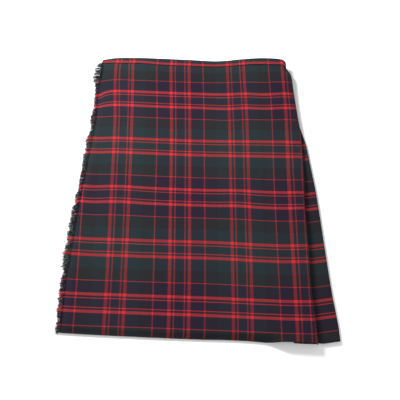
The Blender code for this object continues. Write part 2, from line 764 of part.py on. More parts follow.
def grow_strand(body, face, reach, sweep):
    """Draws a root face out to a thinner tip that hangs towards the floor."""
    tip = bmesh.ops.extrude_discrete_faces(body, faces=[face])["faces"][0]
    centre = tip.calc_center_median()
    fall = min(STRAND_FALL * reach * MM, centre.z - STRAND_FLOOR * MM)
    for vert in tip.verts:
        vert.co = centre + (vert.co - centre) * STRAND_TIP
        vert.co.x -= reach * MM
        vert.co.y -= sweep * reach * MM
        vert.co.z -= fall


def main():
    """Builds the kilt from the floor up."""
    build_pleats()
    build_under_apron()
    build_side_pleat()
    build_over_apron()
    build_back_band()
    build_under_band()
    build_front_band()
    build_fringe()


for leftover in list(bpy.data.objects):
    bpy.data.objects.remove(leftover, do_unlink=True)
KILT = bpy.data.collections.new("kilt")
bpy.context.scene.collection.children.link(KILT)
main()
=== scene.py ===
"""A man's kilt laid flat on its pleated back, woven in tartan, with its fringed apron on top.

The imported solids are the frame. Each cloth piece here stands for one of them, on the same mid
surface, with finer folds, woven cloth, sewing and loose fringe yarns. Lengths are millimetres
until a point is placed, and drops are measured down from one level line at the waist.
"""

from __future__ import annotations

import logging
import math
from dataclasses import dataclass, field
from enum import Enum
from typing import Any, NamedTuple, Sequence

import bpy
import numpy as np
from mathutils import Matrix, Vector


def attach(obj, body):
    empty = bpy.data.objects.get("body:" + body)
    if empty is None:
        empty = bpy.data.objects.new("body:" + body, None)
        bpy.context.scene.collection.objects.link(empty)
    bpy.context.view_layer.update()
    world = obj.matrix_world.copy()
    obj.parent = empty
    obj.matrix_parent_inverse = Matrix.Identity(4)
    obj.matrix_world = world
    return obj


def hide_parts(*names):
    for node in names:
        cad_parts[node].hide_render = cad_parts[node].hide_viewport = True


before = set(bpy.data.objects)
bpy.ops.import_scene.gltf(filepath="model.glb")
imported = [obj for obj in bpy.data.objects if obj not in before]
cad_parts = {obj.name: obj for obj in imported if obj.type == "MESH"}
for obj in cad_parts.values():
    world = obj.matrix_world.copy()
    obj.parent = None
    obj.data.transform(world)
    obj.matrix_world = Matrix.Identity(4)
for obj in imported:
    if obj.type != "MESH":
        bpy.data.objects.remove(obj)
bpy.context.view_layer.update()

LOG = logging.getLogger("kilt")
MM = 0.001
THREAD = 0.976  # millimetres between two threads of the stripe count
WAIST_THREAD = -111.0  # stripe count along the length, where drops start
FRONT_THREAD = 35.2  # stripe count across, at the middle of the kilt
VIEW_SHIFT = 0.615  # threads that a raised point seems to move towards the waist, for each mm
VIEW_HEIGHT = 9.0  # height at which it doesn't
HIGHEST = 3.0  # drop of the highest point of the waistband
LENGTH = 620.2  # drop of the lowest point of the hem
MIDDLE = (HIGHEST + LENGTH) / 2.0
CENTRE_X = -0.16
CLOTH = 1.0  # thickness of the cloth
SEAM = 0.3  # space between two walls of cloth
PITCH = CLOTH + SEAM
HALF = CLOTH / 2.0
THREADS_MAP = "threads"


class EdgeRow(NamedTuple):
    """Where an edge runs at one drop below the waist."""

    drop: float
    x: float


class BandRow(NamedTuple):
    """Upper and lower edge of the front waistband at one place across."""

    x: float
    top: float
    bottom: float


class HemRow(NamedTuple):
    """Drop of a hem at one place across."""

    x: float
    drop: float


class Ridge(NamedTuple):
    """A long soft swell in a panel."""

    x: float
    drop: float
    lean: float
    half_width: float
    half_length: float
    height: float


class Pull(NamedTuple):
    """A soft drag in the weave, in threads, about a place in the stripe count."""

    across: float
    along: float
    half_width: float
    half_length: float
    threads: float


def table(kind: Any, *rows: tuple[float, ...]) -> tuple[Any, ...]:
    """Gives plain rows the named columns of their kind."""
    return tuple(kind(*row) for row in rows)


FRINGED_EDGE = table(
    EdgeRow,  # drop, x
    (0.0, -190.0),
    (24.0, -191.5),
    (73.0, -196.4),
    (150.0, -197.3),
    (225.0, -205.2),
    (298.0, -213.9),
    (367.0, -223.7),
    (450.0, -231.5),
    (545.0, -235.4),
    (LENGTH, -237.4),
)
CREASED_EDGE = table(
    EdgeRow,  # drop, x
    (0.0, 168.0),
    (16.0, 175.4),
    (28.0, 182.0),
    (38.0, 186.8),
    (50.0, 189.4),
    (66.0, 190.8),
    (96.0, 193.6),
    (130.0, 196.5),
    (171.0, 200.4),
    (281.0, 202.3),
    (343.0, 200.0),
    (400.0, 201.4),
    (443.0, 201.9),
    (490.0, 201.8),
    (520.0, 202.2),
    (571.0, 205.2),
    (LENGTH, 207.9),
)
CREASE_RISE = table(
    EdgeRow,  # drop, x
    (40.0, 0.0),
    (80.0, 1.8),
    (130.0, 2.6),
    (200.0, 4.4),
    (280.0, 6.6),
    (380.0, 8.4),
    (480.0, 8.8),
    (560.0, 9.2),
    (596.0, 9.2),
    (LENGTH, 7.8),
)
SIDE_FOLD = table(
    EdgeRow,  # drop, x
    (30.0, 176.0),
    (60.0, 185.0),
    (100.0, 190.5),
    (145.0, 197.2),
    (163.0, 201.5),
    (182.0, 206.2),
    (204.0, 211.2),
    (236.0, 215.0),
    (313.0, 224.0),
    (415.0, 231.7),
    (512.0, 239.0),
    (589.0, 246.8),
    (LENGTH, 248.3),
)
PLEATS_LEFT = table(
    EdgeRow,  # drop, x
    (19.0, -145.0),
    (60.0, -156.0),
    (171.0, -176.0),
    (LENGTH, -215.0),
)
PLEATS_RIGHT = table(
    EdgeRow,  # drop, x
    (19.0, 158.0),
    (60.0, 164.0),
    (171.0, 178.0),
    (LENGTH, 224.0),
)
UNDER_APRON_EDGE = table(
    EdgeRow,  # drop, x
    (19.0, 112.0),
    (171.0, 118.0),
    (LENGTH, 126.0),
)
FRONT_BAND = table(
    BandRow,  # x, top, bottom
    (-190.6, 21.2, 29.2),
    (-186.5, 19.4, 28.8),
    (-176.0, 16.6, 27.4),
    (-160.3, 13.6, 26.8),
    (-112.4, 11.3, 25.2),
    (-80.0, 11.2, 27.0),
    (-14.8, 11.8, 27.4),
    (33.0, 12.9, 27.4),
    (57.4, 10.9, 25.4),
    (81.8, 7.2, 22.6),
    (106.2, 4.5, 20.4),
    (131.6, 3.0, 20.2),
    (156.0, 3.7, 20.0),
    (170.5, 5.2, 19.6),
)
APRON_HEM = table(
    HemRow,  # x, drop
    (-240.0, 607.2),
    (-200.0, 609.0),
    (-100.0, 611.8),
    (0.0, 613.8),
    (45.0, 613.7),
    (88.0, 614.9),
    (120.0, 617.2),
    (142.0, 619.2),
    (166.0, 619.6),
    (190.0, LENGTH),
    (210.0, LENGTH),
)
BESIDE_TOP = table(
    HemRow,  # x, drop
    (160.0, 12.0),
    (168.0, 13.4),
    (172.0, 14.0),
    (175.0, 14.8),
    (177.0, 16.0),
    (178.6, 17.6),
    (181.0, 22.4),
    (183.0, 26.4),
)
PLEATS_HEM = table(
    HemRow,  # x, drop
    (-215.0, 600.0),
    (224.0, 609.7),
)
UNDER_APRON_HEM = table(
    HemRow,  # x, drop
    (-225.0, 594.5),
    (126.0, 601.5),
)
RIDGES = table(
    Ridge,  # x, drop, lean, half width, half length, height
    (-120.0, 150.0, 0.10, 24.0, 90.0, 0.9),
    (-35.0, 395.0, -0.05, 30.0, 130.0, 1.1),
    (62.0, 180.0, 0.16, 26.0, 110.0, 1.3),
    (96.0, 300.0, 0.06, 44.0, 170.0, 2.2),
    (-165.0, 470.0, -0.12, 18.0, 80.0, 0.8),
)
FINE_RIDGES = table(
    Ridge,  # x, drop, lean, half width, half length, height
    (-172.0, 62.0, 0.35, 7.0, 26.0, 0.9),
    (-150.0, 74.0, 0.22, 8.0, 34.0, 0.6),
    (-96.0, 78.0, -0.06, 9.0, 40.0, 0.5),
    (-28.0, 84.0, 0.05, 12.0, 46.0, 0.5),
    (44.0, 76.0, 0.12, 9.0, 38.0, 0.6),
    (104.0, 88.0, 0.30, 10.0, 44.0, 0.8),
    (142.0, 96.0, 0.42, 9.0, 50.0, 0.9),
    (170.0, 128.0, 0.26, 8.0, 48.0, 0.7),
    (-188.0, 236.0, -0.16, 9.0, 60.0, 0.5),
    (-70.0, 300.0, 0.07, 14.0, 70.0, 0.4),
    (24.0, 330.0, -0.04, 12.0, 80.0, 0.4),
    (150.0, 300.0, 0.05, 12.0, 70.0, 0.5),
    (86.0, 540.0, 0.03, 13.0, 60.0, 0.4),
    (-90.0, 545.0, -0.04, 12.0, 55.0, 0.4),
)
PULLS_ALONG = table(
    Pull,  # across, along, half width, half length, threads
    (204.0, -96.0, 120.0, 219.0, 14.0),
    (-162.0, -60.0, 24.0, 303.0, -4.1),
    (260.0, 269.0, 50.0, 217.0, 4.4),
    (63.0, 337.0, 80.0, 97.0, 1.7),
    (-111.5, 226.0, 45.0, 37.0, 2.3),
    (93.0, 20.0, 36.0, 50.0, -2.8),
    (172.0, -9.0, 32.0, 61.0, -3.8),
    (112.0, 228.0, 35.0, 43.0, 2.3),
    (-38.0, -43.0, 72.0, 35.0, 1.3),
)
PULLS_ACROSS = table(
    Pull,  # across, along, half width, half length, threads
    (-50.0, 403.0, 160.0, 227.0, -4.8),
    (-47.0, 43.0, 59.0, 400.0, 11.0),
    (200.0, -110.0, 160.0, 93.0, 7.2),
    (197.0, 214.0, 47.0, 240.0, 4.6),
    (-54.0, 95.0, 69.0, 211.0, -9.2),
    (103.0, 89.0, 18.0, 400.0, 2.0),
    (-132.0, -45.0, 18.0, 63.0, 3.3),
    (220.0, 290.0, 7.0, 200.0, -1.7),
    (236.5, 320.0, 7.0, 300.0, 1.9),
)


def smooth(value: np.ndarray | float, start: float, end: float) -> np.ndarray:
    """Rises from 0 to 1 between two places, level at both.

    Args:
        value: Where it is read.
        start: The last place with 0.
        end: The first place with 1.

    Returns:
        The share for each value.
    """
    step = np.clip((np.asarray(value, float) - start) / (end - start), 0.0, 1.0)
    return step * step * (3.0 - 2.0 * step)


def mix(first: Any, second: Any, share: Any) -> Any:
    """Blends two values.

    Args:
        first: The value at share 0.
        second: The value at share 1.
        share: How far to go.

    Returns:
        The blended value.
    """
    return first + (second - first) * share


def swell(x: np.ndarray, drop: np.ndarray, folds: Sequence[Ridge]) -> np.ndarray:
    """Adds up soft ridges.

    Args:
        x: Places across.
        drop: Drops below the waist.
        folds: The ridges.

    Returns:
        The height that they add at each place.
    """
    total = np.zeros(np.broadcast(x, drop).shape)
    for fold in folds:
        along = (drop - fold.drop) / fold.half_length
        across = (x - fold.x - fold.lean * (drop - fold.drop)) / fold.half_width
        total = total + fold.height * np.exp(-along * along - across * across)
    return total


class Track:
    """A line through rows of numbers, read at places in their first column."""

    def __init__(self, rows: Sequence[tuple[float, ...]], column: int = 1) -> None:
        """Keeps one column of the rows.

        Args:
            rows: The rows, in order of their first column.
            column: The column to read.
        """
        self.places = np.array([row[0] for row in rows], float)
        self.values = np.array([row[column] for row in rows], float)
        count = len(rows)
        before = np.maximum(np.arange(count) - 1, 0)
        after = np.minimum(np.arange(count) + 1, count - 1)
        rise = self.values[after] - self.values[before]
        self.slopes = rise / (self.places[after] - self.places[before])

    def _span(self, at: np.ndarray) -> np.ndarray:
        """The index of the row before each place."""
        found = np.searchsorted(self.places, at, side="left") - 1
        return np.clip(found, 0, len(self.places) - 2)

    def curve(self, at: np.ndarray | float) -> np.ndarray:
        """Reads the column along a smooth curve.

        Args:
            at: Places in the first column.

        Returns:
            The value at each place.
        """
        at = np.clip(np.asarray(at, float), self.places[0], self.places[-1])
        low = self._span(at)
        span = self.places[low + 1] - self.places[low]
        t = (at - self.places[low]) / span
        bend = (1.0 - t) ** 2 * t * span * self.slopes[low]
        bend = bend + (t - 1.0) * t * t * span * self.slopes[low + 1]
        return mix(self.values[low], self.values[low + 1], t * t * (3.0 - 2.0 * t)) + bend

    def straight(self, at: np.ndarray | float) -> np.ndarray:
        """Reads the column along straight lines, which go on past both ends.

        Args:
            at: Places in the first column.

        Returns:
            The value at each place.
        """
        at = np.asarray(at, float)
        low = self._span(at)
        share = (at - self.places[low]) / (self.places[low + 1] - self.places[low])
        return mix(self.values[low], self.values[low + 1], share)


@dataclass(frozen=True)
class WovenCount:
    """The stripe count of the cloth at a place on the kilt, with the drags in its weave.

    Each base holds the stray at the middle, its rise to the right edge and its rise to the hem.
    """

    along: tuple[Pull, ...] = PULLS_ALONG
    across: tuple[Pull, ...] = PULLS_ACROSS
    along_base: tuple[float, float, float] = (-1.93, -2.47, 1.03)
    across_base: tuple[float, float, float] = (-0.56, -2.64, 2.59)
    edge_sag: float = 9.5
    edge_sag_width: float = 13.0
    edge_sag_centre: float = -4.0
    edge_sag_length: float = 30.0
    half_width: float = 200.0
    middle_row: float = 200.0
    half_length: float = 300.0

    def _sum(
        self,
        u: np.ndarray,
        v: np.ndarray,
        base: tuple[float, float, float],
        pulls: tuple[Pull, ...],
    ) -> np.ndarray:
        """Adds a slanted base and the pulls at each place of the plain count.

        Args:
            u: Plain counts across.
            v: Plain counts along.
            base: The base at the middle, and its rise to the right edge and to the hem.
            pulls: The pulls.

        Returns:
            The sum at each place, in threads.
        """
        total = base[0] + base[1] * u / self.half_width
        total = total + base[2] * (v - self.middle_row) / self.half_length
        for pull in pulls:
            across = (u - pull.across) / pull.half_width
            along = (v - pull.along) / pull.half_length
            total = total + pull.threads * np.exp(-across * across - along * along)
        return total

    @staticmethod
    def plain(x: np.ndarray, drop: np.ndarray, z: np.ndarray) -> tuple[np.ndarray, np.ndarray]:
        """The count of an even cloth.

        Args:
            x: Places across, in mm.
            drop: Drops below the waist, in mm.
            z: Heights, in mm.

        Returns:
            Counts across and along.
        """
        u = x / THREAD + FRONT_THREAD
        v = drop / THREAD + WAIST_THREAD - VIEW_SHIFT * (z - VIEW_HEIGHT)
        return u, v

    def across_pull(self, u: np.ndarray, v: np.ndarray) -> np.ndarray:
        """How far the warp's stripes stray across.

        Args:
            u: Plain counts across.
            v: Plain counts along.

        Returns:
            The stray, in threads.
        """
        return self._sum(u, v, self.across_base, self.across)

    def panel(
        self, x: np.ndarray, drop: np.ndarray, z: np.ndarray, left_edge: np.ndarray
    ) -> np.ndarray:
        """The count on the apron.

        Args:
            x: Places across, in mm.
            drop: Drops below the waist, in mm.
            z: Heights, in mm.
            left_edge: The fringed edge at those drops, in mm.

        Returns:
            The two counts in a last axis.
        """
        u, v = self.plain(x, drop, z)
        from_edge = (x - left_edge) / THREAD / self.edge_sag_width
        about = (v - self.edge_sag_centre) / self.edge_sag_length
        sag = self.edge_sag * np.exp(-from_edge * from_edge - about * about)
        count_u = u + self.across_pull(u, v)
        count_v = v + self._sum(u, v, self.along_base, self.along) - sag
        return np.stack([count_u, count_v], axis=-1)


class Yarn(Enum):
    """Dyed yarns of the tartan, as display colours."""

    NAVY = (0.139, 0.096, 0.184)
    RED = (0.770, 0.176, 0.204)
    BLACK = (0.142, 0.142, 0.156)
    GREEN = (0.129, 0.189, 0.209)

    def linear(self) -> tuple[float, float, float, float]:
        """Turns the display colour into light.

        Returns:
            Red, green, blue and full cover.
        """
        red, green, blue = (
            c / 12.92 if c <= 0.04045 else ((c + 0.055) / 1.055) ** 2.4 for c in self.value
        )
        return (red, green, blue, 1.0)


class Stripe(NamedTuple):
    """One stripe of the sett, from its first thread."""

    start: float
    yarn: Yarn


def tartan(half_fine: float, half_lone: float) -> tuple[Stripe, ...]:
    """The stripes of half a repeat.

    Args:
        half_fine: Half the width of the fine red line beside each broad one, in threads.
        half_lone: Half the width of the fine red line that lies alone.

    Returns:
        The stripes, from the middle of the navy to the middle of the green.
    """
    return (
        Stripe(0.0, Yarn.NAVY),
        Stripe(9.0 - half_fine, Yarn.RED),
        Stripe(9.0 + half_fine, Yarn.NAVY),
        Stripe(14.0, Yarn.RED),
        Stripe(20.0, Yarn.NAVY),
        Stripe(45.0 - half_lone, Yarn.RED),
        Stripe(45.0 + half_lone, Yarn.BLACK),
        Stripe(70.0, Yarn.GREEN),
        Stripe(94.0, Yarn.RED),
        Stripe(100.0, Yarn.GREEN),
        Stripe(105.0 - half_fine, Yarn.RED),
        Stripe(105.0 + half_fine, Yarn.GREEN),
    )


WARP_STRIPES = tartan(half_fine=1.04, half_lone=0.94)
WEFT_STRIPES = tartan(half_fine=0.81, half_lone=0.78)
DARK_STRETCH = (
    Stripe(0.0, Yarn.NAVY),
    Stripe(8.0, Yarn.RED),
    Stripe(10.0, Yarn.NAVY),
    Stripe(14.0, Yarn.RED),
    Stripe(20.0, Yarn.NAVY),
    Stripe(34.0, Yarn.BLACK),
    Stripe(86.0, Yarn.GREEN),
    Stripe(94.0, Yarn.RED),
    Stripe(100.0, Yarn.GREEN),
)


@dataclass(frozen=True)
class Sett:
    """Half of a tartan's repeat, mirrored at both ends, and the number of its dye lot."""

    half_repeat: float = 114.0
    stripes: tuple[Stripe, ...] = WARP_STRIPES
    lot: float = 300.0


class Graph:
    """A node tree under construction."""

    def __init__(self, tree: bpy.types.NodeTree) -> None:
        """Wraps a tree."""
        self.tree = tree

    def fill(self, node: bpy.types.Node, inputs: dict[str | int, Any]) -> None:
        """Sets or links a node's inputs.

        Args:
            node: The node.
            inputs: Values or sockets by input name or index.
        """
        for key, value in inputs.items():
            socket = node.inputs[key]
            if isinstance(value, bpy.types.NodeSocket):
                self.tree.links.new(value, socket)
            else:
                socket.default_value = value

    def node(
        self, kind: str, inputs: dict[str | int, Any] | None = None, **settings: Any
    ) -> bpy.types.Node:
        """Adds a node.

        Args:
            kind: The node's type.
            inputs: Values or sockets by input name or index.
            settings: The node's own properties.

        Returns:
            The node.
        """
        made = self.tree.nodes.new(kind)
        for key, value in settings.items():
            setattr(made, key, value)
        self.fill(made, inputs or {})
        return made

    def maths(self, operation: str, first: Any, second: Any = None) -> bpy.types.NodeSocket:
        """Adds one sum.

        Args:
            operation: The Math node's operation.
            first: A number or socket.
            second: A number or socket, if the operation has two.

        Returns:
            The result's socket.
        """
        inputs = {0: first} if second is None else {0: first, 1: second}
        return self.node("ShaderNodeMath", inputs, operation=operation).outputs[0]

    def plus(self, first: Any, second: Any) -> bpy.types.NodeSocket:
        """Adds two numbers or sockets."""
        return self.maths("ADD", first, second)

    def times(self, first: Any, second: Any) -> bpy.types.NodeSocket:
        """Multiplies two numbers or sockets."""
        return self.maths("MULTIPLY", first, second)

    def axes(self, vector: Any) -> Any:
        """Splits a vector into the sockets of its three parts."""
        return self.node("ShaderNodeSeparateXYZ", {0: vector}).outputs

    def vector(self, x: Any = 0.0, y: Any = 0.0, z: Any = 0.0) -> bpy.types.NodeSocket:
        """Joins three numbers or sockets into a vector."""
        return self.node("ShaderNodeCombineXYZ", {0: x, 1: y, 2: z}).outputs[0]

    def noise(
        self, where: Any, scale: float, detail: float = 2.0, roughness: float = 0.5
    ) -> bpy.types.Node:
        """Adds soft noise.

        Args:
            where: The socket of the place that it is read at.
            scale: How many patches there are to one unit.
            detail: How many finer layers it has.
            roughness: How strong the finer layers are.

        Returns:
            The noise node.
        """
        inputs = {"Vector": where, "Scale": scale, "Detail": detail, "Roughness": roughness}
        return self.node("ShaderNodeTexNoise", inputs)

    def blend(self, share: Any, first: Any, second: Any, kind: str = "MIX") -> Any:
        """Mixes two colours.

        Args:
            share: How much of the second.
            first: A colour or socket.
            second: A colour or socket.
            kind: The blend type.

        Returns:
            The mixed colour's socket.
        """
        inputs = {0: share, 6: first, 7: second}
        made = self.node("ShaderNodeMix", inputs, data_type="RGBA", blend_type=kind)
        return made.outputs[2]

    def shaded(self, colour: Any, value: Any, amount: float) -> Any:
        """Makes a colour a touch lighter or darker.

        Args:
            colour: The colour's socket.
            value: The socket of a value from 0 to 1.
            amount: The whole range of the change.

        Returns:
            The new colour's socket.
        """
        shade = self.plus(self.times(value, amount), 1.0 - amount / 2.0)
        return self.blend(1.0, colour, shade, "MULTIPLY")


class Surface(Graph):
    """The node tree of a new material."""

    def __init__(self, name: str) -> None:
        """Makes the material.

        Args:
            name: The material's name.
        """
        self.material = bpy.data.materials.new(name)
        self.material.use_nodes = True
        super().__init__(self.material.node_tree)

    def bump(self, height: Any, distance: float, strength: float) -> Any:
        """Raises a fine relief.

        Args:
            height: The socket of the height.
            distance: The relief's depth, in metres.
            strength: How strongly it shows.

        Returns:
            The socket of the bent normal.
        """
        inputs = {"Strength": strength, "Distance": distance, "Height": height}
        return self.node("ShaderNodeBump", inputs).outputs[0]

    def close(self, look: dict[str | int, Any]) -> bpy.types.Material:
        """Gives the surface its look.

        Args:
            look: Values or sockets of the shader's inputs, by name.

        Returns:
            The finished material.
        """
        self.fill(self.tree.nodes["Principled BSDF"], look)
        return self.material


@dataclass(frozen=True)
class TartanTwill:
    """Worsted two-and-two twill: striped warp over striped weft, with a dry, matt face."""

    name: str
    warp: Sett = Sett()
    weft: Sett = Sett(stripes=WEFT_STRIPES)
    yarns_per_thread: float = 1.5
    yarns_in_step: float = 4.0
    yarns_over: float = 2.0
    warp_width: float = 0.72
    # Each yarn is darkened by the colour of the yarn that it crosses: partly the crossing yarn's
    # fluff and partly painted shade between the yarns.
    show_through_and_shade: float = 0.46
    roughness: float = 0.9
    specular: float = 0.15
    sheen: float = 0.05
    wander: float = 0.5
    wander_scale: float = 0.03
    streak: float = 0.16
    mottle: float = 0.10
    mottle_scale: float = 0.02
    mottle_detail: float = 4.0
    mottle_roughness: float = 0.65
    relief: float = 0.00012
    relief_strength: float = 0.6

    def make(self) -> bpy.types.Material:
        """Builds the woven material.

        Returns:
            The material, which reads the piece's own thread map.
        """
        graph = Surface(self.name)
        count = graph.node("ShaderNodeUVMap", uv_map=THREADS_MAP).outputs[0]
        warp_count, weft_count = self._counts(graph, count)
        warp = self.yarn_colour(graph, warp_count, self.warp)
        weft = self.yarn_colour(graph, weft_count, self.weft)
        over, height = self._twill(graph, count)
        # Each face takes in the crossing yarn's colour: partly fluff, partly painted shade between
        # the yarns.
        warp_face = graph.blend(self.show_through_and_shade, warp, weft, "MULTIPLY")
        weft_face = graph.blend(self.show_through_and_shade, weft, warp, "MULTIPLY")
        colour = graph.blend(over, weft_face, warp_face)
        worn = graph.noise(count, self.mottle_scale, self.mottle_detail, self.mottle_roughness)
        return graph.close(
            {
                "Base Color": graph.shaded(colour, worn.outputs["Fac"], self.mottle),
                "Normal": graph.bump(height, self.relief, self.relief_strength),
                "Roughness": self.roughness,
                "Specular IOR Level": self.specular,
                "Sheen Weight": self.sheen,
            }
        )

    def _counts(self, graph: Graph, count: Any) -> tuple[Any, Any]:
        """Lets the stripes' edges wander a little, as pressed cloth does.

        Args:
            graph: The material's graph.
            count: The socket of the thread counts.

        Returns:
            The sockets of the warp's count and the weft's.
        """
        noise = graph.noise(count, self.wander_scale, 1.0)
        strays = graph.node("ShaderNodeSeparateColor", {0: noise.outputs["Color"]}).outputs
        plain = graph.axes(count)
        found = []
        for axis in range(2):
            stray = graph.times(graph.maths("SUBTRACT", strays[axis], 0.5), self.wander)
            found.append(graph.plus(plain[axis], stray))
        return found[0], found[1]

    def yarn_colour(self, graph: Graph, count: Any, sett: Sett) -> Any:
        """Colours one set of yarns, each a touch lighter or darker than the next.

        Args:
            graph: The material's graph.
            count: The socket of the thread count across the yarns.
            sett: The stripes of this set.

        Returns:
            The colour's socket.
        """
        folded = graph.maths("PINGPONG", count, sett.half_repeat)
        share = graph.maths("DIVIDE", folded, sett.half_repeat)
        ramp = graph.node("ShaderNodeValToRGB", {0: share})
        stops = ramp.color_ramp
        stops.interpolation = "CONSTANT"
        for index, stripe in enumerate(sett.stripes):
            start = stripe.start / sett.half_repeat
            stop = stops.elements[index] if index < 2 else stops.elements.new(start)
            stop.position = start
        for stop, stripe in zip(stops.elements, sett.stripes):
            stop.color = stripe.yarn.linear()
        yarn = graph.maths("FLOOR", graph.times(count, self.yarns_per_thread))
        number = graph.plus(yarn, sett.lot)
        lot = graph.node("ShaderNodeTexWhiteNoise", {"W": number}, noise_dimensions="1D")
        return graph.shaded(ramp.outputs["Color"], lot.outputs["Value"], self.streak)

    def _twill(self, graph: Graph, count: Any) -> tuple[Any, Any]:
        """Which yarn lies on top, and the rounded height of the yarns.

        Args:
            graph: The material's graph.
            count: The socket of the thread counts.

        Returns:
            The sockets of the warp's cover, 0 or 1, and of the height.
        """
        plain = graph.axes(count)
        yarns = [graph.times(plain[axis], self.yarns_per_thread) for axis in range(2)]
        whole = [graph.maths("FLOOR", value) for value in yarns]
        part = [graph.maths("FRACT", value) for value in yarns]
        step = graph.maths("FLOORED_MODULO", graph.plus(whole[0], whole[1]), self.yarns_in_step)
        crossing = graph.maths("LESS_THAN", step, self.yarns_over - 0.5)
        aside = graph.maths("ABSOLUTE", graph.maths("SUBTRACT", part[0], 0.5))
        over = graph.times(crossing, graph.maths("LESS_THAN", aside, self.warp_width / 2.0))
        rounds = [graph.maths("SINE", graph.times(value, math.pi)) for value in part]
        inputs = {0: over, 2: rounds[1], 3: rounds[0]}
        height = graph.node("ShaderNodeMix", inputs, data_type="FLOAT")
        return over, height.outputs[0]


@dataclass(frozen=True)
class FringeYarn:
    """Loose yarn of the fringe: the colour of its own row of the cloth, with painted shade at the
    root, painted light towards the tip and pale painted highlight flecks near the tip.
    """

    name: str = "fringe_yarn_wool"
    cloth: TartanTwill = TartanTwill("fringe_source", streak=0.7)
    # root and end: painted shade at the yarn's root and painted light at its tip, as factors on its
    # colour.
    root: float = 0.24
    end: float = 1.3
    # Pale grey painted highlight flecks near the tips of the yarns.
    painted_highlight: tuple[float, float, float, float] = (0.40, 0.39, 0.40, 1.0)
    highlight_share: float = 0.8
    highlight_power: float = 1.3
    fleck: tuple[float, float] = (0.7, 3.0)
    fleck_edge: tuple[float, float] = (0.56, 0.64)
    roughness: float = 0.95
    specular: float = 0.1
    sheen: float = 0.03

    def make(self) -> bpy.types.Material:
        """Builds the yarn's material.

        Returns:
            The material, which reads the row and the place along each yarn.
        """
        graph = Surface(self.name)
        row = graph.node("ShaderNodeAttribute", attribute_name="row").outputs["Fac"]
        along = graph.node("ShaderNodeAttribute", attribute_name="along").outputs["Fac"]
        colour = self.cloth.yarn_colour(graph, row, self.cloth.weft)
        # Painted shade at the root, rising to painted light past the cloth's own colour at the tip.
        lit = graph.plus(graph.times(along, self.end - self.root), self.root)
        colour = graph.blend(1.0, colour, lit, "MULTIPLY")
        spread = graph.vector(graph.times(row, self.fleck[0]), graph.times(along, self.fleck[1]))
        flecks = graph.noise(spread, 1.0).outputs["Fac"]
        inputs = {0: flecks, 1: self.fleck_edge[0], 2: self.fleck_edge[1]}
        highlight_mask = graph.node("ShaderNodeMapRange", inputs).outputs[0]
        # The pale flecks towards the tips are painted highlights.
        pale = graph.times(graph.maths("POWER", along, self.highlight_power), self.highlight_share)
        return graph.close(
            {
                "Base Color": graph.blend(graph.times(pale, highlight_mask), colour, self.painted_highlight),
                "Roughness": self.roughness,
                "Specular IOR Level": self.specular,
                "Sheen Weight": self.sheen,
            }
        )


@dataclass(frozen=True)
class SewingThread:
    """Dark polished sewing thread, with the fine slanted bands of its ply."""

    name: str = "sewing_thread"
    colour: tuple[float, float, float, float] = (0.012, 0.022, 0.02, 1.0)
    pale: tuple[float, float, float, float] = (0.0264, 0.0484, 0.044, 1.0)
    plies: float = 1100.0
    unevenness: float = 1.5
    relief: float = 0.00005
    relief_strength: float = 0.4
    roughness: float = 0.55

    def make(self) -> bpy.types.Material:
        """Builds the thread's material.

        Returns:
            The material, which reads object coordinates.
        """
        graph = Surface(self.name)
        where = graph.node("ShaderNodeTexCoord").outputs["Object"]
        inputs = {
            "Vector": where,
            "Scale": self.plies,
            "Distortion": self.unevenness,
            "Detail": 1.0,
        }
        ply = graph.node("ShaderNodeTexWave", inputs, bands_direction="DIAGONAL").outputs["Fac"]
        return graph.close(
            {
                "Base Color": graph.blend(ply, self.colour, self.pale),
                "Normal": graph.bump(ply, self.relief, self.relief_strength),
                "Roughness": self.roughness,
            }
        )


@dataclass(frozen=True)
class StudioPaper:
    """Pale matt paper, a little uneven."""

    name: str = "studio_paper"
    colour: tuple[float, float, float, float] = (0.93, 0.93, 0.93, 1.0)
    pale: tuple[float, float, float, float] = (0.95, 0.95, 0.95, 1.0)
    patches: float = 2.0
    roughness: float = 0.9
    specular: float = 0.1

    def make(self) -> bpy.types.Material:
        """Builds the paper's material.

        Returns:
            The material, which reads object coordinates.
        """
        graph = Surface(self.name)
        where = graph.node("ShaderNodeTexCoord").outputs["Object"]
        cloud = graph.noise(where, self.patches).outputs["Fac"]
        return graph.close(
            {
                "Base Color": graph.blend(cloud, self.colour, self.pale),
                "Roughness": self.roughness,
                "Specular IOR Level": self.specular,
            }
        )


def add_object(name: str, data: Any) -> bpy.types.Object:
    """Adds an object to the scene.

    Args:
        name: Its name.
        data: Its mesh, light or camera.

    Returns:
        The object.
    """
    made = bpy.data.objects.new(name, data)
    bpy.context.scene.collection.objects.link(made)
    return made


def settle(piece: bpy.types.Object) -> bpy.types.Object:
    """Turns a piece's modifiers into plain mesh.

    Args:
        piece: The object with live modifiers.

    Returns:
        The same object, without modifiers.
    """
    graph = bpy.context.evaluated_depsgraph_get()
    graph.update()
    mesh = bpy.data.meshes.new_from_object(piece.evaluated_get(graph), depsgraph=graph)
    mesh.name = piece.name
    piece.modifiers.clear()
    piece.data = mesh
    return piece


def place(x: Any, drop: Any, z: Any) -> np.ndarray:
    """Turns millimetres into a point of the frame.

    Args:
        x: Places across.
        drop: Drops below the waist.
        z: Heights.

    Returns:
        Points in metres, in a last axis.
    """
    x, drop, z = np.broadcast_arrays(x, drop, z)
    return np.stack([x + CENTRE_X, MIDDLE - drop, z], axis=-1) * MM


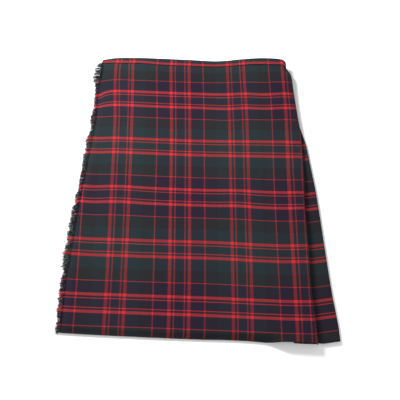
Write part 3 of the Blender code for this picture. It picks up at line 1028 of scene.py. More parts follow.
@dataclass
class ClothSheet:
    """A sheet of cloth: a grid of points on its mid surface, and the thread count at each."""

    name: str
    points: np.ndarray
    threads: np.ndarray
    wall: float = CLOTH

    def build(self, material: bpy.types.Material) -> bpy.types.Object:
        """Builds the sheet and gives it its wall.

        Args:
            material: The woven cloth.

        Returns:
            The finished piece.
        """
        rows, columns = self.points.shape[:2]
        corner = np.arange(rows * columns).reshape(rows, columns)
        faces = np.stack(
            [corner[:-1, :-1], corner[1:, :-1], corner[1:, 1:], corner[:-1, 1:]], axis=-1
        ).reshape(-1, 4)
        mesh = bpy.data.meshes.new(self.name)
        mesh.from_pydata(self.points.reshape(-1, 3).tolist(), [], faces.tolist())
        layer = mesh.uv_layers.new(name=THREADS_MAP)
        count = self.threads.reshape(-1, 2)[faces.reshape(-1)]
        layer.data.foreach_set("uv", count.astype(np.float32).ravel())
        mesh.shade_smooth()
        mesh.materials.append(material)
        piece = add_object(self.name, mesh)
        wall = piece.modifiers.new("cloth wall", "SOLIDIFY")
        wall.thickness = self.wall * MM
        wall.offset = 0.0
        wall.use_even_offset = True
        wall.use_quality_normals = True
        return settle(piece)


def arc(
    x: Any, z: Any, radius: Any, start: float, end: float, steps: int
) -> list[tuple[Any, Any]]:
    """Points on an arc, without its ends.

    Args:
        x: Centre across.
        z: Centre height.
        radius: Radius.
        start: First angle, in degrees.
        end: Last angle, in degrees.
        steps: Number of steps.

    Returns:
        The points between the ends.
    """
    found = []
    for step in range(1, steps):
        angle = math.radians(mix(start, end, step / steps))
        found.append((x + radius * math.cos(angle), z + radius * math.sin(angle)))
    return found


def arc_length(x: np.ndarray, z: np.ndarray) -> np.ndarray:
    """Distance along each row of a section.

    Args:
        x: Places across, rows by columns.
        z: Heights, rows by columns.

    Returns:
        The distance from the first column, in mm.
    """
    steps = np.hypot(np.diff(x, axis=1), np.diff(z, axis=1))
    return np.concatenate([np.zeros((len(x), 1)), np.cumsum(steps, axis=1)], axis=1)


@dataclass(frozen=True)
class LaidForm:
    """Edges and mid heights of the layers of the kilt as it lies."""

    back_band_gap: float = 2.87
    under_apron_z: float = 4.4
    apron_z: float = 5.9
    underlay_step: float = 1.4
    underlay_ramp: tuple[float, float] = (2.0, 34.0)
    underlay_share: float = 0.3
    side_share: float = 0.4
    left_edge_z: float = 2.5
    left_edge_droop: float = 12.0
    left_edge_start: float = 110.0
    hem_edge_z: float = 2.6
    hem_droop: float = 12.0
    step_ramp: tuple[float, float] = (126.0, 146.0)
    hem_ramp: tuple[float, float] = (112.0, 150.0)
    hip_rise: float = 5.0
    hip_x: float = 165.0
    hip_half_width: float = 78.0
    hip_half_length: float = 75.0
    roll_share: float = 0.5
    roll_width: float = 14.0
    roll_start: tuple[float, float] = (24.0, 42.0)
    turn_x: float = 170.5
    turn_depth: float = 5.5
    crease_width: float = 150.0
    bead_radius: float = 5.6
    bead_depth: float = 5.3
    ridge_start: tuple[float, float] = (50.0, 100.0)
    underlay_least: float = 0.5
    band_zone: float = 36.0
    band_clear: float = 2.0
    body_start: float = 95.0
    under_apron_start: float = 80.0
    fringed: Track = field(default_factory=lambda: Track(FRINGED_EDGE))
    creased: Track = field(default_factory=lambda: Track(CREASED_EDGE))
    crease_rise: Track = field(default_factory=lambda: Track(CREASE_RISE))
    side_fold: Track = field(default_factory=lambda: Track(SIDE_FOLD))
    pleats_left: Track = field(default_factory=lambda: Track(PLEATS_LEFT))
    pleats_right: Track = field(default_factory=lambda: Track(PLEATS_RIGHT))
    under_edge: Track = field(default_factory=lambda: Track(UNDER_APRON_EDGE))
    band_top: Track = field(default_factory=lambda: Track(FRONT_BAND, 1))
    band_bottom: Track = field(default_factory=lambda: Track(FRONT_BAND, 2))
    hem: Track = field(default_factory=lambda: Track(APRON_HEM))

    @property
    def below_band(self) -> float:
        """Drop at which the cloth that ends under the waistband starts."""
        return self.band_zone + self.band_clear

    @property
    def back_band_z(self) -> float:
        """Mid height of the waistband round the pleats."""
        return HALF + self.back_band_gap

    @property
    def under_band_z(self) -> float:
        """Mid height of the waistband round the under apron."""
        return self.back_band_z + self.back_band_gap + 2.0 * PITCH

    @property
    def front_band_z(self) -> float:
        """Mid height of the waistband round the over apron."""
        return self.under_band_z + 3.0 * PITCH

    def hip(self, x: Any, drop: Any) -> np.ndarray:
        """The swell over the wearer's left hip.

        Args:
            x: Places across.
            drop: Drops below the waist.

        Returns:
            The added height.
        """
        below = (np.maximum(drop, self.band_zone) - self.band_zone) / self.hip_half_length
        across = (x - self.hip_x) / self.hip_half_width
        return self.hip_rise * np.exp(-across * across - below * below)

    def crease(self, x: Any, drop: Any) -> np.ndarray:
        """The rise of the pressed crease, which grows to the hem.

        Args:
            x: Places across.
            drop: Drops below the waist.

        Returns:
            The added height.
        """
        away = (self.creased.curve(drop) - x) / self.crease_width
        return self.crease_rise.curve(drop) * np.exp(-away * away)

    def bead(self, x: Any, drop: Any) -> np.ndarray:
        """How far the cloth rolls over at the crease itself.

        Args:
            x: Places across.
            drop: Drops below the waist.

        Returns:
            The lost height.
        """
        reach = math.sqrt(self.bead_radius**2 - (self.bead_radius - self.bead_depth) ** 2)
        away = self.creased.curve(drop) - PITCH / 2.0 - x
        inward = np.clip(reach - away, 0.0, reach)
        fall = self.bead_radius - np.sqrt(self.bead_radius**2 - inward * inward)
        return fall * self.crease_rise.curve(drop) / self.bead_depth

    @property
    def turn_radius(self) -> float:
        """Half the height of the waistband's turn round the wearer's left side."""
        high = self.front_band_z + float(self.hip(self.turn_x, 0.0))
        return (high - self.back_band_z) / 2.0

    def roll(self, x: Any, drop: Any) -> np.ndarray:
        """How far the apron sinks beside its crease, and round the waistband's turn.

        Args:
            x: Places across.
            drop: Drops below the waist.

        Returns:
            The lost height.
        """
        away = self.creased.curve(drop) - x
        soft = (1.0 - smooth(away, 0.0, self.roll_width)) * self.roll_share
        radius = self.turn_radius
        past = np.clip(np.asarray(x, float) - self.turn_x, 0.0, radius)
        turned = np.minimum(radius - np.sqrt(radius * radius - past * past), self.turn_depth)
        return mix(turned, soft * self.side_rise(x, drop), smooth(drop, *self.roll_start))

    def apron(self, x: Any, drop: Any) -> np.ndarray:
        """Mid height of the over apron's top panel.

        Args:
            x: Places across.
            drop: Drops below the waist.

        Returns:
            The height.
        """
        at_waist = 1.0 - smooth(drop, self.band_zone, self.body_start)
        body = self.apron_z + self.underlay_step * smooth(x, *self.step_ramp)
        height = mix(body, self.front_band_z, at_waist) + self.hip(x, drop)
        height = height + self.crease(x, drop)
        height = height + swell(x, drop, RIDGES) * smooth(drop, *self.ridge_start)
        height = height - self.roll(x, drop) - self.bead(x, drop)
        edge = mix(
            self.front_band_z, self.left_edge_z, smooth(drop, self.band_zone, self.left_edge_start)
        )
        inward = x - self.fringed.curve(drop)
        height = mix(edge, height, smooth(inward, 0.0, self.left_edge_droop))
        low = mix(self.hem_edge_z, height, smooth(x, *self.hem_ramp))
        return mix(low, height, smooth(self.hem.curve(x) - drop, 0.0, self.hem_droop))

    def side_rise(self, x: Any, drop: Any) -> np.ndarray:
        """How far the waist lifts the apron beside the crease.

        Args:
            x: Places across.
            drop: Drops below the waist.

        Returns:
            The added height.
        """
        at_waist = 1.0 - smooth(drop, self.band_zone, self.body_start)
        level = self.apron_z + self.underlay_step
        return mix(level, self.front_band_z, at_waist) + self.hip(x, drop) - level

    def side_pleat(self, x: Any, drop: Any) -> np.ndarray:
        """Mid height of the side pleat's upper leaf.

        Args:
            x: Places across.
            drop: Drops below the waist.

        Returns:
            The height.
        """
        return self.under_apron_z + self.side_share * self.side_rise(x, drop)

    def underlay(self, x: Any, drop: Any) -> np.ndarray:
        """Mid height of the over apron's turned-under edge.

        Args:
            x: Places across.
            drop: Drops below the waist.

        Returns:
            The height.
        """
        away = self.creased.curve(drop) - x
        sunk = self.bead(self.creased.curve(drop), drop) - self.bead(x, drop)
        near = self.apron(x, drop) - sunk - PITCH
        far = self.side_pleat(x, drop) + PITCH + self.underlay_share * self.side_rise(x, drop)
        far = np.maximum(far, mix(far, near, self.underlay_least))
        return mix(near, far, smooth(away, *self.underlay_ramp))

    def under_apron(self, drop: Any) -> np.ndarray:
        """Mid height of the under apron.

        Args:
            drop: Drops below the waist.

        Returns:
            The height.
        """
        at_waist = 1.0 - smooth(drop, self.band_zone, self.under_apron_start)
        return mix(self.under_apron_z, self.under_band_z, at_waist)


class Held(Enum):
    """How a cloth piece keeps its shape."""

    LAID = "laid"
    FOLDED = "folded"


@dataclass(frozen=True)
class Cut:
    """A cloth piece's solid and slot, its flat width and length in metres, and how it lies."""

    node: str
    slot: str
    flat: tuple[float, float]
    held: Held
    rests_on: tuple[str, ...]


def finish_sheet(sheet: ClothSheet, cloth: bpy.types.Material, cut: Cut) -> bpy.types.Object:
    """Builds a sheet, binds it to the frame and hides the solid that it stands for.

    Args:
        sheet: The sheet.
        cloth: The woven cloth.
        cut: What the sheet stands for, and its cut.

    Returns:
        The finished piece.
    """
    piece = sheet.build(cloth)
    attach(piece, "root")
    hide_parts(cut.node)
    return piece


@dataclass
class Panel:
    """A main piece of the kilt: the form that it follows, its stripe count and its cloth."""

    form: LaidForm
    count: WovenCount
    cloth: bpy.types.Material
    cut: Cut

    def sheet(self) -> ClothSheet:
        """The whole piece as one sheet."""
        raise NotImplementedError

    def build(self) -> list[bpy.types.Object]:
        """Builds the piece."""
        return [finish_sheet(self.sheet(), self.cloth, self.cut)]


@dataclass
class OverApron(Panel):
    """The plain front panel, its pressed crease and the edge turned under beside it."""

    cut: Cut = Cut(
        "over_apron",
        "tartan_apron",
        (0.50, 0.625),
        Held.LAID,
        ("under_apron_cloth", "side_pleat_cloth"),
    )
    spans: int = 118
    rows: int = 140
    margin: tuple[float, ...] = (0.0, 0.8, 2.0, 4.0, 6.5, 9.0, 12.0, 16.0, 20.0, 24.0)
    crease_margin: tuple[float, ...] = (
        24.0, 20.0, 16.0, 12.0, 9.0, 7.0, 5.6, 4.4, 3.4, 2.5, 1.7, 1.0, 0.4, 0.0
    )
    hem_steps: tuple[float, ...] = (26.0, 22.0, 18.0, 15.0, 12.0, 9.5, 7.5, 5.5, 4.0, 2.4, 1.0, 0.0)
    body_end: float = 30.0
    fringe_top: float = 30.0
    tuck: float = 1.9
    beside_ramp: tuple[float, float] = (163.0, 168.0)
    left_fade: tuple[float, float] = (4.0, 22.0)
    crease_fade: tuple[float, float] = (6.0, 26.0)
    waist_fade: tuple[float, float] = (40.0, 62.0)
    hem_fade: tuple[float, float] = (8.0, 40.0)
    turn_steps: int = 8
    underlay_insets: tuple[float, ...] = (
        1.5, 5.0, 10.0, 15.0, 20.0, 25.0, 30.0, 36.0, 40.6, 41.35
    )
    underlay_short: float = 1.5
    hem_power: int = 8

    def _across(self, drop: np.ndarray) -> np.ndarray:
        """Sets the columns between the fringed edge and the crease.

        Args:
            drop: A drop for each column, in the last axis.

        Returns:
            The columns' places across at those drops.
        """
        left = self.form.fringed.curve(drop)
        right = self.form.creased.curve(drop) - PITCH / 2.0
        edge = len(self.margin)
        share = np.arange(1, self.spans) / self.spans
        low = left + self.margin[-1]
        high = right - self.crease_margin[0]
        middle = slice(edge, edge + len(share))
        x = np.empty(drop.shape)
        x[..., :edge] = left[..., :edge] + np.array(self.margin)
        x[..., middle] = mix(low[..., middle], high[..., middle], share)
        x[..., middle.stop :] = right[..., middle.stop :] - np.array(self.crease_margin)
        return x

    def _top(self, x: np.ndarray) -> np.ndarray:
        """Drop of the top edge, inside the waistband or just below its end."""
        inside = self.form.band_top.curve(x) + PITCH + self.tuck
        return mix(inside, Track(BESIDE_TOP).curve(x), smooth(x, *self.beside_ramp))

    def panel(self) -> tuple[np.ndarray, np.ndarray, np.ndarray]:
        """The top panel.

        Returns:
            Places across, drops and mid heights, rows by columns.
        """
        columns = len(self.margin) + self.spans - 1 + len(self.crease_margin)
        top = self._top(self._across(np.full(columns, self.fringe_top)))
        hem = self.form.hem.curve(self._across(np.full(columns, LENGTH)))
        share = (np.arange(self.rows) / (self.rows - 1))[:, None]
        body = mix(top, hem - self.body_end, share)
        drop = np.concatenate([body, hem - np.array(self.hem_steps)[:, None]])
        x = self._across(drop)
        return x, drop, self.form.apron(x, drop) + self._fine(x, drop)

    def _fine(self, x: np.ndarray, drop: np.ndarray) -> np.ndarray:
        """Small handling creases, which fade at the edges.

        Args:
            x: Places across.
            drop: Drops below the waist.

        Returns:
            The added height.
        """
        fade = smooth(x - self.form.fringed.curve(drop), *self.left_fade)
        fade = fade * smooth(self.form.creased.curve(drop) - x, *self.crease_fade)
        fade = fade * smooth(drop, *self.waist_fade)
        fade = fade * smooth(self.form.hem.curve(x) - drop, *self.hem_fade)
        return swell(x, drop, FINE_RIDGES) * fade

    def _turned_under(self, x: np.ndarray, drop: np.ndarray) -> list[np.ndarray]:
        """The columns past the crease: a tight turn, and the strip that lies under the panel.

        Args:
            x: The crease's places across.
            drop: The crease's drops.

        Returns:
            Places across, drops and mid heights, rows by columns.
        """
        form, bend = self.form, PITCH / 2.0
        high = form.apron(x, drop)
        tilt = np.arctan2(1.0, (form.apron(x - bend, drop) - high) / bend)
        columns = []
        for step in range(1, self.turn_steps + 1):
            angle = mix(tilt, -math.pi / 2.0, step / self.turn_steps)
            out, up = np.cos(angle) - np.cos(tilt), np.sin(angle) - np.sin(tilt)
            columns.append((x + bend * out, drop, high + bend * up))
        for inset in self.underlay_insets:
            under = x - inset
            short = LENGTH - form.hem.curve(under) + self.underlay_short
            risen = drop - short * (drop / LENGTH) ** self.hem_power
            columns.append((under, risen, form.underlay(under, risen)))
        return [np.stack([column[axis] for column in columns], axis=1) for axis in range(3)]

    def sheet(self) -> ClothSheet:
        """The whole piece, from the fringed edge round to the turned-under edge.

        Returns:
            The sheet.
        """
        x, drop, z = self.panel()
        threads = self.count.panel(x, drop, z, self.form.fringed.curve(drop))
        turned_x, turned_drop, turned_z = self._turned_under(x[:, -1], drop[:, -1])
        section_x, section_z = np.hstack([x[:, -1:], turned_x]), np.hstack([z[:, -1:], turned_z])
        run = arc_length(section_x, section_z)[:, 1:] / THREAD
        level = np.broadcast_to(threads[:, -1:, 1], run.shape)
        turned = np.stack([threads[:, -1:, 0] + run, level], axis=-1)
        points = place(
            np.hstack([x, turned_x]), np.hstack([drop, turned_drop]), np.hstack([z, turned_z])
        )
        return ClothSheet("over_apron_cloth", points, np.hstack([threads, turned]))


@dataclass
class UnderApron(Panel):
    """The plain panel under the over apron, which comes round from the pleats' last fold."""

    cut: Cut = Cut("under_apron", "tartan_back", (0.38, 0.60), Held.LAID, ("pleats_cloth",))
    inset: float = 14.0
    band_top: float = 19.0
    tuck: float = 0.9
    count_shift: float = 2.0
    seam_shares: tuple[float, ...] = (0.0, 0.5)
    fold_steps: int = 12
    panel_steps: int = 44
    body_rows: int = 90

    def _section(self, drop: np.ndarray) -> tuple[np.ndarray, np.ndarray]:
        """The columns of the floor leaf, the fold and the panel.

        Args:
            drop: Drops below the waist.

        Returns:
            Places across and mid heights, drops by columns.
        """
        form = self.form
        fold = form.fringed.curve(drop) + self.inset
        upper = form.under_apron(drop)
        bend = (form.under_apron_z - HALF) / 2.0
        centre = fold + bend + HALF
        seam = form.pleats_left.straight(drop) - SEAM
        floor = np.full(drop.shape, HALF)
        section = [(mix(seam, centre, share), floor) for share in self.seam_shares]
        for step in range(self.fold_steps + 1):
            angle = math.radians(mix(270.0, 90.0, step / self.fold_steps))
            height = mix(HALF, upper, 0.5 + 0.5 * math.sin(angle))
            section.append((centre + bend * math.cos(angle), height))
        edge = form.under_edge.curve(drop)
        for step in range(1, self.panel_steps + 1):
            section.append((mix(centre, edge, step / self.panel_steps), upper))
        xs, zs = zip(*section)
        return np.stack(xs, axis=1), np.stack(zs, axis=1)

    def sheet(self) -> ClothSheet:
        """The panel and its fold.

        Returns:
            The sheet.
        """
        folded = len(self.seam_shares) + self.fold_steps + 1
        columns = folded + self.panel_steps
        top = np.full(columns, self.band_top + PITCH + self.tuck)
        top[: folded + 1] = self.form.below_band
        end_x, _ = self._section(np.full(1, LENGTH))
        share = (np.arange(self.body_rows) / (self.body_rows - 1))[:, None]
        drop = mix(top, Track(UNDER_APRON_HEM).straight(end_x[0]), share)
        x, z = np.empty(drop.shape), np.empty(drop.shape)
        for column in range(columns):
            xs, zs = self._section(drop[:, column])
            x[:, column], z[:, column] = xs[:, column], zs[:, column]
        u, v = self.count.plain(x, drop, np.full(x.shape, VIEW_HEIGHT))
        across = u[:, :1] - arc_length(x, z) / THREAD + self.count_shift
        return ClothSheet("under_apron_cloth", place(x, drop, z), np.stack([across, v], axis=-1))


@dataclass
class SidePleat(Panel):
    """The deep pleat at the wearer's left: inner fold, upper leaf, side fold and floor leaf."""

    cut: Cut = Cut("side_pleat", "tartan_side", (0.165, 0.60), Held.FOLDED, ("pleats_cloth",))
    width: float = 50.0
    underlay_seam: float = 42.0
    hem: float = 617.35
    hem_rise: float = 0.17
    hem_inside: float = 0.12
    hem_x: float = 216.0
    hem_under: float = 3.6
    hem_turn: int = 2
    hem_power: int = 8
    fold_inset: float = 3.0
    lip: float = 3.0
    rows: int = 110
    inner_steps: int = 8
    leaf_steps: int = 22
    fold_steps: int = 14
    floor_steps: int = 4
    plain_thread: float = 58.0
    plain_step: int = 15
    slant: float = 0.18
    slant_from: float = 266.0
    slant_ramp: tuple[float, float] = (190.0, 240.0)

    def _section(self, drop: np.ndarray) -> tuple[np.ndarray, np.ndarray, slice]:
        """The columns of the inner fold, the leaf that shows, the side fold and the floor leaf.

        Args:
            drop: Drops below the waist.

        Returns:
            Places across and mid heights, drops by columns, and the leaf's own columns.
        """
        form = self.form
        floor = np.full(drop.shape, HALF)
        crease = form.creased.curve(drop)
        inner = crease - self.width
        fold = form.side_fold.curve(drop)
        upper, lower = form.side_pleat(inner, drop), form.underlay(inner, drop)
        bend = (lower - upper) / 2.0
        seam_x = crease - self.underlay_seam - 2.0 * SEAM
        section = [(seam_x, form.underlay(seam_x, drop)), (inner + bend, lower)]
        section += arc(inner + bend, upper + bend, bend, 90.0, 270.0, self.inner_steps)
        section.append((inner + bend, upper))
        leaf = slice(len(section), len(section) + self.leaf_steps)
        turn = (form.side_pleat(fold - self.fold_inset, drop) - HALF) / 2.0
        for step in range(1, self.leaf_steps + 1):
            x = mix(inner + bend, fold - turn - HALF, step / self.leaf_steps)
            section.append((x, form.side_pleat(x, drop)))
        last_x, last_z = section[-1]
        turn = (last_z - HALF) / 2.0
        section += arc(last_x, HALF + turn, turn, 90.0, -90.0, self.fold_steps)
        seam = form.pleats_right.straight(drop) + self.lip + 2.0 * SEAM
        for step in range(self.floor_steps + 1):
            section.append((mix(last_x, seam, step / self.floor_steps), floor))
        x, z = (np.stack([column[axis] for column in section], axis=1) for axis in range(2))
        return x, z, leaf

    def _hem(self, x: np.ndarray, leaf: slice) -> np.ndarray:
        """Drop of the hem, which rises to both sides of its low point and round the side fold.

        Args:
            x: Places across.
            leaf: The columns of the leaf that shows.

        Returns:
            The drop at each place.
        """
        hem = self.hem - self.hem_rise * np.maximum(0.0, x - self.hem_x)
        hem = hem - self.hem_inside * np.maximum(0.0, self.hem_x - x)
        column = np.broadcast_to(np.arange(x.shape[1]), x.shape)
        start, end = leaf.stop + self.hem_turn, leaf.stop + self.fold_steps
        return hem - self.hem_under * smooth(column, start, end)

    def sheet(self) -> ClothSheet:
        """The whole pleat, from its seam under the over apron to its seam on the floor.

        Returns:
            The sheet.
        """
        drop = np.linspace(self.form.below_band, LENGTH, self.rows)
        x, z, leaf = self._section(drop)
        drop = drop[:, None]
        risen = drop - (LENGTH - self._hem(x, leaf)) * (drop / LENGTH) ** self.hem_power
        return ClothSheet("side_pleat_cloth", place(x, risen, z), self._threads(x, risen, z, leaf))

    def _threads(
        self, x: np.ndarray, drop: np.ndarray, z: np.ndarray, leaf: slice
    ) -> np.ndarray:
        """The stripe count, with a plain dark stretch on the leaf that shows.

        Args:
            x: Places across.
            drop: Drops below the waist.
            z: Heights.
            leaf: The columns of the leaf that shows.

        Returns:
            The two counts in a last axis.
        """
        u, v = self.count.plain(x, drop, z)
        run = arc_length(x, z)
        plain = leaf.start + self.plain_step
        along = (run - run[:, plain : plain + 1]) / THREAD
        slanted = v + self.slant * (u - self.slant_from) * smooth(u, *self.slant_ramp)
        _, level = self.count.plain(x, drop, np.full(x.shape, VIEW_HEIGHT))
        column = np.broadcast_to(np.arange(x.shape[1]), x.shape)
        below = smooth(column, leaf.stop, leaf.stop + self.fold_steps)
        return np.stack([self.plain_thread + along, mix(slanted, level, below)], axis=-1)


@dataclass
class PleatedBack(Panel):
    """The knife pleats that the kilt lies on, each face followed by two hidden layers."""

    cut: Cut = Cut("pleats", "tartan_back", (1.20, 0.58), Held.FOLDED, ("floor",))
    pleats: int = 24
    clear: float = 1.5 * PITCH
    lip: float = 3.0
    waist_lift: float = 1.85
    waist_end: float = 60.0
    band_top: float = 19.0
    face_shares: tuple[float, ...] = (0.2, 0.5, 0.8, 1.0)
    fold_steps: int = 7
    corner_steps: int = 4
    sway: float = 0.35
    sway_share: float = 0.5
    sway_turn: float = 2.399
    sway_spread: float = 1.7
    sway_slow: float = 95.0
    sway_quick: float = 41.0
    sway_start: float = 200.0
    waist_rows: int = 9
    body_start: float = 66.0
    body_end: float = LENGTH - 22.0
    rows: int = 56

    def _lift(self, drop: np.ndarray) -> np.ndarray:
        """How far the pleats stand off the floor above the waistband's leaf."""
        share = (drop - self.band_top) / (self.waist_end - self.band_top)
        return self.waist_lift * np.maximum(0.0, 1.0 - share)

    def _section(
        self, drop: np.ndarray, left: np.ndarray, right: np.ndarray
    ) -> tuple[np.ndarray, np.ndarray]:
        """The columns of all pleats.

        Args:
            drop: Drops below the waist.
            left: The left edge at those drops.
            right: The right edge at those drops.

        Returns:
            Places across and mid heights, drops by columns.
        """
        low = HALF + self._lift(drop)
        middle, high, bend = low + PITCH, low + 2.0 * PITCH, PITCH / 2.0
        points = [(left, low)]
        for index in range(self.pleats):
            start = mix(left, right, index / self.pleats) + self._wave(drop, index)
            end = mix(left, right, (index + 1) / self.pleats) + self._wave(drop, index + 1)
            edge, inner = end - self.clear, start + self.clear
            points += [(mix(start + PITCH, edge, share), low) for share in self.face_shares]
            points += arc(edge, low + bend, bend, -90.0, 90.0, self.fold_steps)
            points += [(edge, middle), (mix(edge, inner, 0.5), middle), (inner, middle)]
            points += arc(inner, middle + bend, bend, 270.0, 90.0, self.fold_steps)
            points += [(inner, high), (mix(inner, end, 0.5), high), (end - bend, high)]
            points += arc(end - bend, high - bend, bend, 90.0, 0.0, self.corner_steps)
            points += [(end, high - bend), (end, low + bend)]
            points += arc(end + bend, low + bend, bend, 180.0, 270.0, self.corner_steps)
            points.append((end + bend, low))
        points.append((right + self.lip, low))
        x = np.stack([np.broadcast_to(point[0], drop.shape) for point in points], axis=1)
        z = np.stack([np.broadcast_to(point[1], drop.shape) for point in points], axis=1)
        return x, z

    def _wave(self, drop: np.ndarray, index: int) -> np.ndarray:
        """A pressed edge never runs quite straight, but the outer edges do, at their seams.

        Args:
            drop: Drops below the waist.
            index: The number of the edge, from the left.

        Returns:
            How far the edge strays across.
        """
        if index in (0, self.pleats):
            return np.zeros(drop.shape)
        turn = self.sway_turn * index
        slow = np.sin(drop / self.sway_slow + turn)
        quick = np.sin(drop / self.sway_quick + self.sway_spread * turn)
        stray = slow + self.sway_share * quick
        return self.sway * stray * smooth(drop, self.waist_end, self.sway_start)

    def sheet(self) -> ClothSheet:
        """The whole pleated back.

        Returns:
            The sheet.
        """
        form = self.form
        top = self.band_top + form.back_band_gap + SEAM
        waist = np.linspace(top, self.waist_end, self.waist_rows)
        drops = np.concatenate([waist, np.linspace(self.body_start, self.body_end, self.rows)])
        left, right = form.pleats_left.straight(drops), form.pleats_right.straight(drops)
        x, z = self._section(drops, left, right)
        end = Track(PLEATS_HEM).straight(x[-1:])
        share = (np.broadcast_to(drops[:, None], x.shape) - top) / (drops[-1] - top)
        drop = mix(top, end, share)
        threads = np.stack(self.count.plain(x, drop, np.full(x.shape, VIEW_HEIGHT)), axis=-1)
        return ClothSheet("pleats_cloth", place(x, drop, z), threads)


class BandStation(NamedTuple):
    """One section of a waistband: its place, the way it faces, its fold and its edges."""

    x: float
    z: float
    normal: tuple[float, float]
    gap: float
    top: float
    bottom: float
    turnover: float


@dataclass
class Waistband:
    """The folded strip round the waist, in its front, back and under stretches."""

    form: LaidForm
    count: WovenCount
    cloth: bpy.types.Material
    back_top: float = 19.0
    back_bottom: float = 35.0
    turnover: float = 10.0
    right_turn: float = 170.5
    left_turn: float = -172.3
    left_start: float = -168.0
    gap_end: float = -150.0
    turn_top: float = 11.0
    turn_bottom: float = 27.0
    seam_angle: float = 3.0
    under_seam: float = 8.0
    under_end: float = 113.0
    front_stations: int = 150
    back_stations: int = 110
    under_stations: int = 60
    right_steps: int = 12
    left_steps: int = 16
    outer_shares: tuple[float, ...] = (0.0, 0.05, 0.15, 0.4, 0.7, 1.0)
    inner_shares: tuple[float, ...] = (0.0, 0.4, 0.9, 1.0)
    fold_steps: int = 8
    back_thread: float = 212.0
    under_thread: float = -135.0
    stripe_centre: float = 97.0
    stripe_up: float = 2.7
    stripe_up_right: float = 4.6
    stripe_ramp: tuple[float, float] = (57.0, 131.0)
    jog: float = 2.0
    jog_ramp: tuple[float, float] = (-60.0, 60.0)
    pull_row: float = -91.0

    def _station(
        self, centre: tuple[float, float], angle: float = 90.0, radius: float = 0.0, **edges: float
    ) -> BandStation:
        """One section that looks along an angle.

        Args:
            centre: Place across and height of the middle of its turn.
            angle: The way that it faces, in degrees.
            radius: How far the strip lies from that middle.
            edges: Its gap, top, bottom or turnover, where they aren't the usual ones.

        Returns:
            The section.
        """
        normal = (math.cos(math.radians(angle)), math.sin(math.radians(angle)))
        usual = {
            "gap": PITCH,
            "top": self.back_top,
            "bottom": self.back_bottom,
            "turnover": self.turnover,
        }
        sizes = {name: float(value) for name, value in {**usual, **edges}.items()}
        sizes["top"] += HALF
        x, z = (middle + radius * way for middle, way in zip(centre, normal))
        return BandStation(float(x), float(z), normal, **sizes)

    def _right_turn(self) -> tuple[tuple[float, float], float]:
        """The middle and the radius of the turn round the wearer's left side."""
        radius = self.form.turn_radius
        return (self.right_turn, self.form.back_band_z + radius), radius

    def front(self) -> list[BandStation]:
        """Sections over the top of the over apron, to the middle of the right turn.

        Returns:
            The sections, from the left.
        """
        form = self.form
        found = []
        for x in np.linspace(FRONT_BAND[0].x, self.right_turn, self.front_stations):
            top, bottom = form.band_top.curve(x), form.band_bottom.curve(x)
            depth = min(self.turnover, bottom - top - HALF - PITCH)
            level = form.front_band_z + form.hip(x, 0.0)
            found.append(self._station((x, level), top=top, bottom=bottom, turnover=depth))
        centre, radius = self._right_turn()
        for step in range(1, self.right_steps + 1):
            turn = step / self.right_steps
            angle = mix(90.0, self.seam_angle, turn)
            top = mix(FRONT_BAND[-1].top, self.turn_top, turn)
            bottom = mix(FRONT_BAND[-1].bottom, self.turn_bottom, turn)
            found.append(self._station(centre, angle, radius, top=top, bottom=bottom))
        return found

    def back(self) -> list[BandStation]:
        """Sections from the right turn, along the floor and round the left turn.

        Returns:
            The sections, from the right turn on.
        """
        form = self.form
        found = []
        centre, radius = self._right_turn()
        for step in range(self.right_steps):
            turn = step / self.right_steps
            angle = mix(-self.seam_angle, -90.0, turn)
            gap = mix(PITCH, form.back_band_gap, turn)
            top = mix(self.turn_top, self.back_top, turn)
            bottom = mix(self.turn_bottom, self.back_bottom, turn)
            found.append(self._station(centre, angle, radius, gap=gap, top=top, bottom=bottom))
        for x in np.linspace(self.right_turn, self.left_start, self.back_stations):
            gap = mix(PITCH, form.back_band_gap, smooth(x, self.left_start, self.gap_end))
            found.append(self._station((x, HALF + gap), -90.0, gap=gap))
        middle = (HALF + PITCH + form.under_band_z) / 2.0
        centre, radius = (self.left_turn, middle), form.under_band_z - middle
        for step in range(self.left_steps + 1):
            angle = mix(270.0, 90.0, step / self.left_steps)
            found.append(self._station(centre, angle, radius))
        found.append(self._station((self.left_turn + self.under_seam, form.under_band_z)))
        return found

    def under(self) -> list[BandStation]:
        """Sections over the top of the under apron.

        Returns:
            The sections, from the left.
        """
        start = self.left_turn + self.under_seam + SEAM
        places = np.linspace(start, self.under_end, self.under_stations)
        return [self._station((x, self.form.under_band_z)) for x in places]

    def _profile(self, station: BandStation) -> np.ndarray:
        """One section, from the outer leaf's edge over the fold to the inner leaf's edge.

        Args:
            station: The section's sizes.

        Returns:
            Offset and drop of each point.
        """
        gap, fold = station.gap, station.top + station.gap
        outer = [(gap, mix(station.bottom, fold, share)) for share in self.outer_shares]
        over = [(out, fold - up) for out, up in arc(0.0, 0.0, gap, 0.0, 180.0, self.fold_steps)]
        inner = [(-gap, fold + station.turnover * share) for share in self.inner_shares]
        return np.array(outer + over + inner)

    def _sheet(self, name: str, stations: list[BandStation], start: float) -> ClothSheet:
        """Lofts a sheet through sections.

        Args:
            name: The piece's name.
            stations: The sections.
            start: The stripe count across at the first one.

        Returns:
            The sheet.
        """
        points, threads = [], []
        run = start
        before = stations[0]
        for station in stations:
            run += math.hypot(station.x - before.x, station.z - before.z) / THREAD
            before = station
            out, drop = self._profile(station).T
            x, z = station.x + out * station.normal[0], station.z + out * station.normal[1]
            points.append(place(x, drop, z))
            up = mix(self.stripe_up, self.stripe_up_right, smooth(station.x, *self.stripe_ramp))
            path = np.concatenate([[0.0], np.cumsum(np.hypot(np.diff(out), np.diff(drop)))])
            stray = self._stray(run) if name.startswith("waistband_front") else 0.0
            along = self.stripe_centre + (up - path) / THREAD
            threads.append(np.stack([np.full(len(path), run + stray), along], axis=-1))
        return ClothSheet(name, np.stack(points), np.stack(threads))

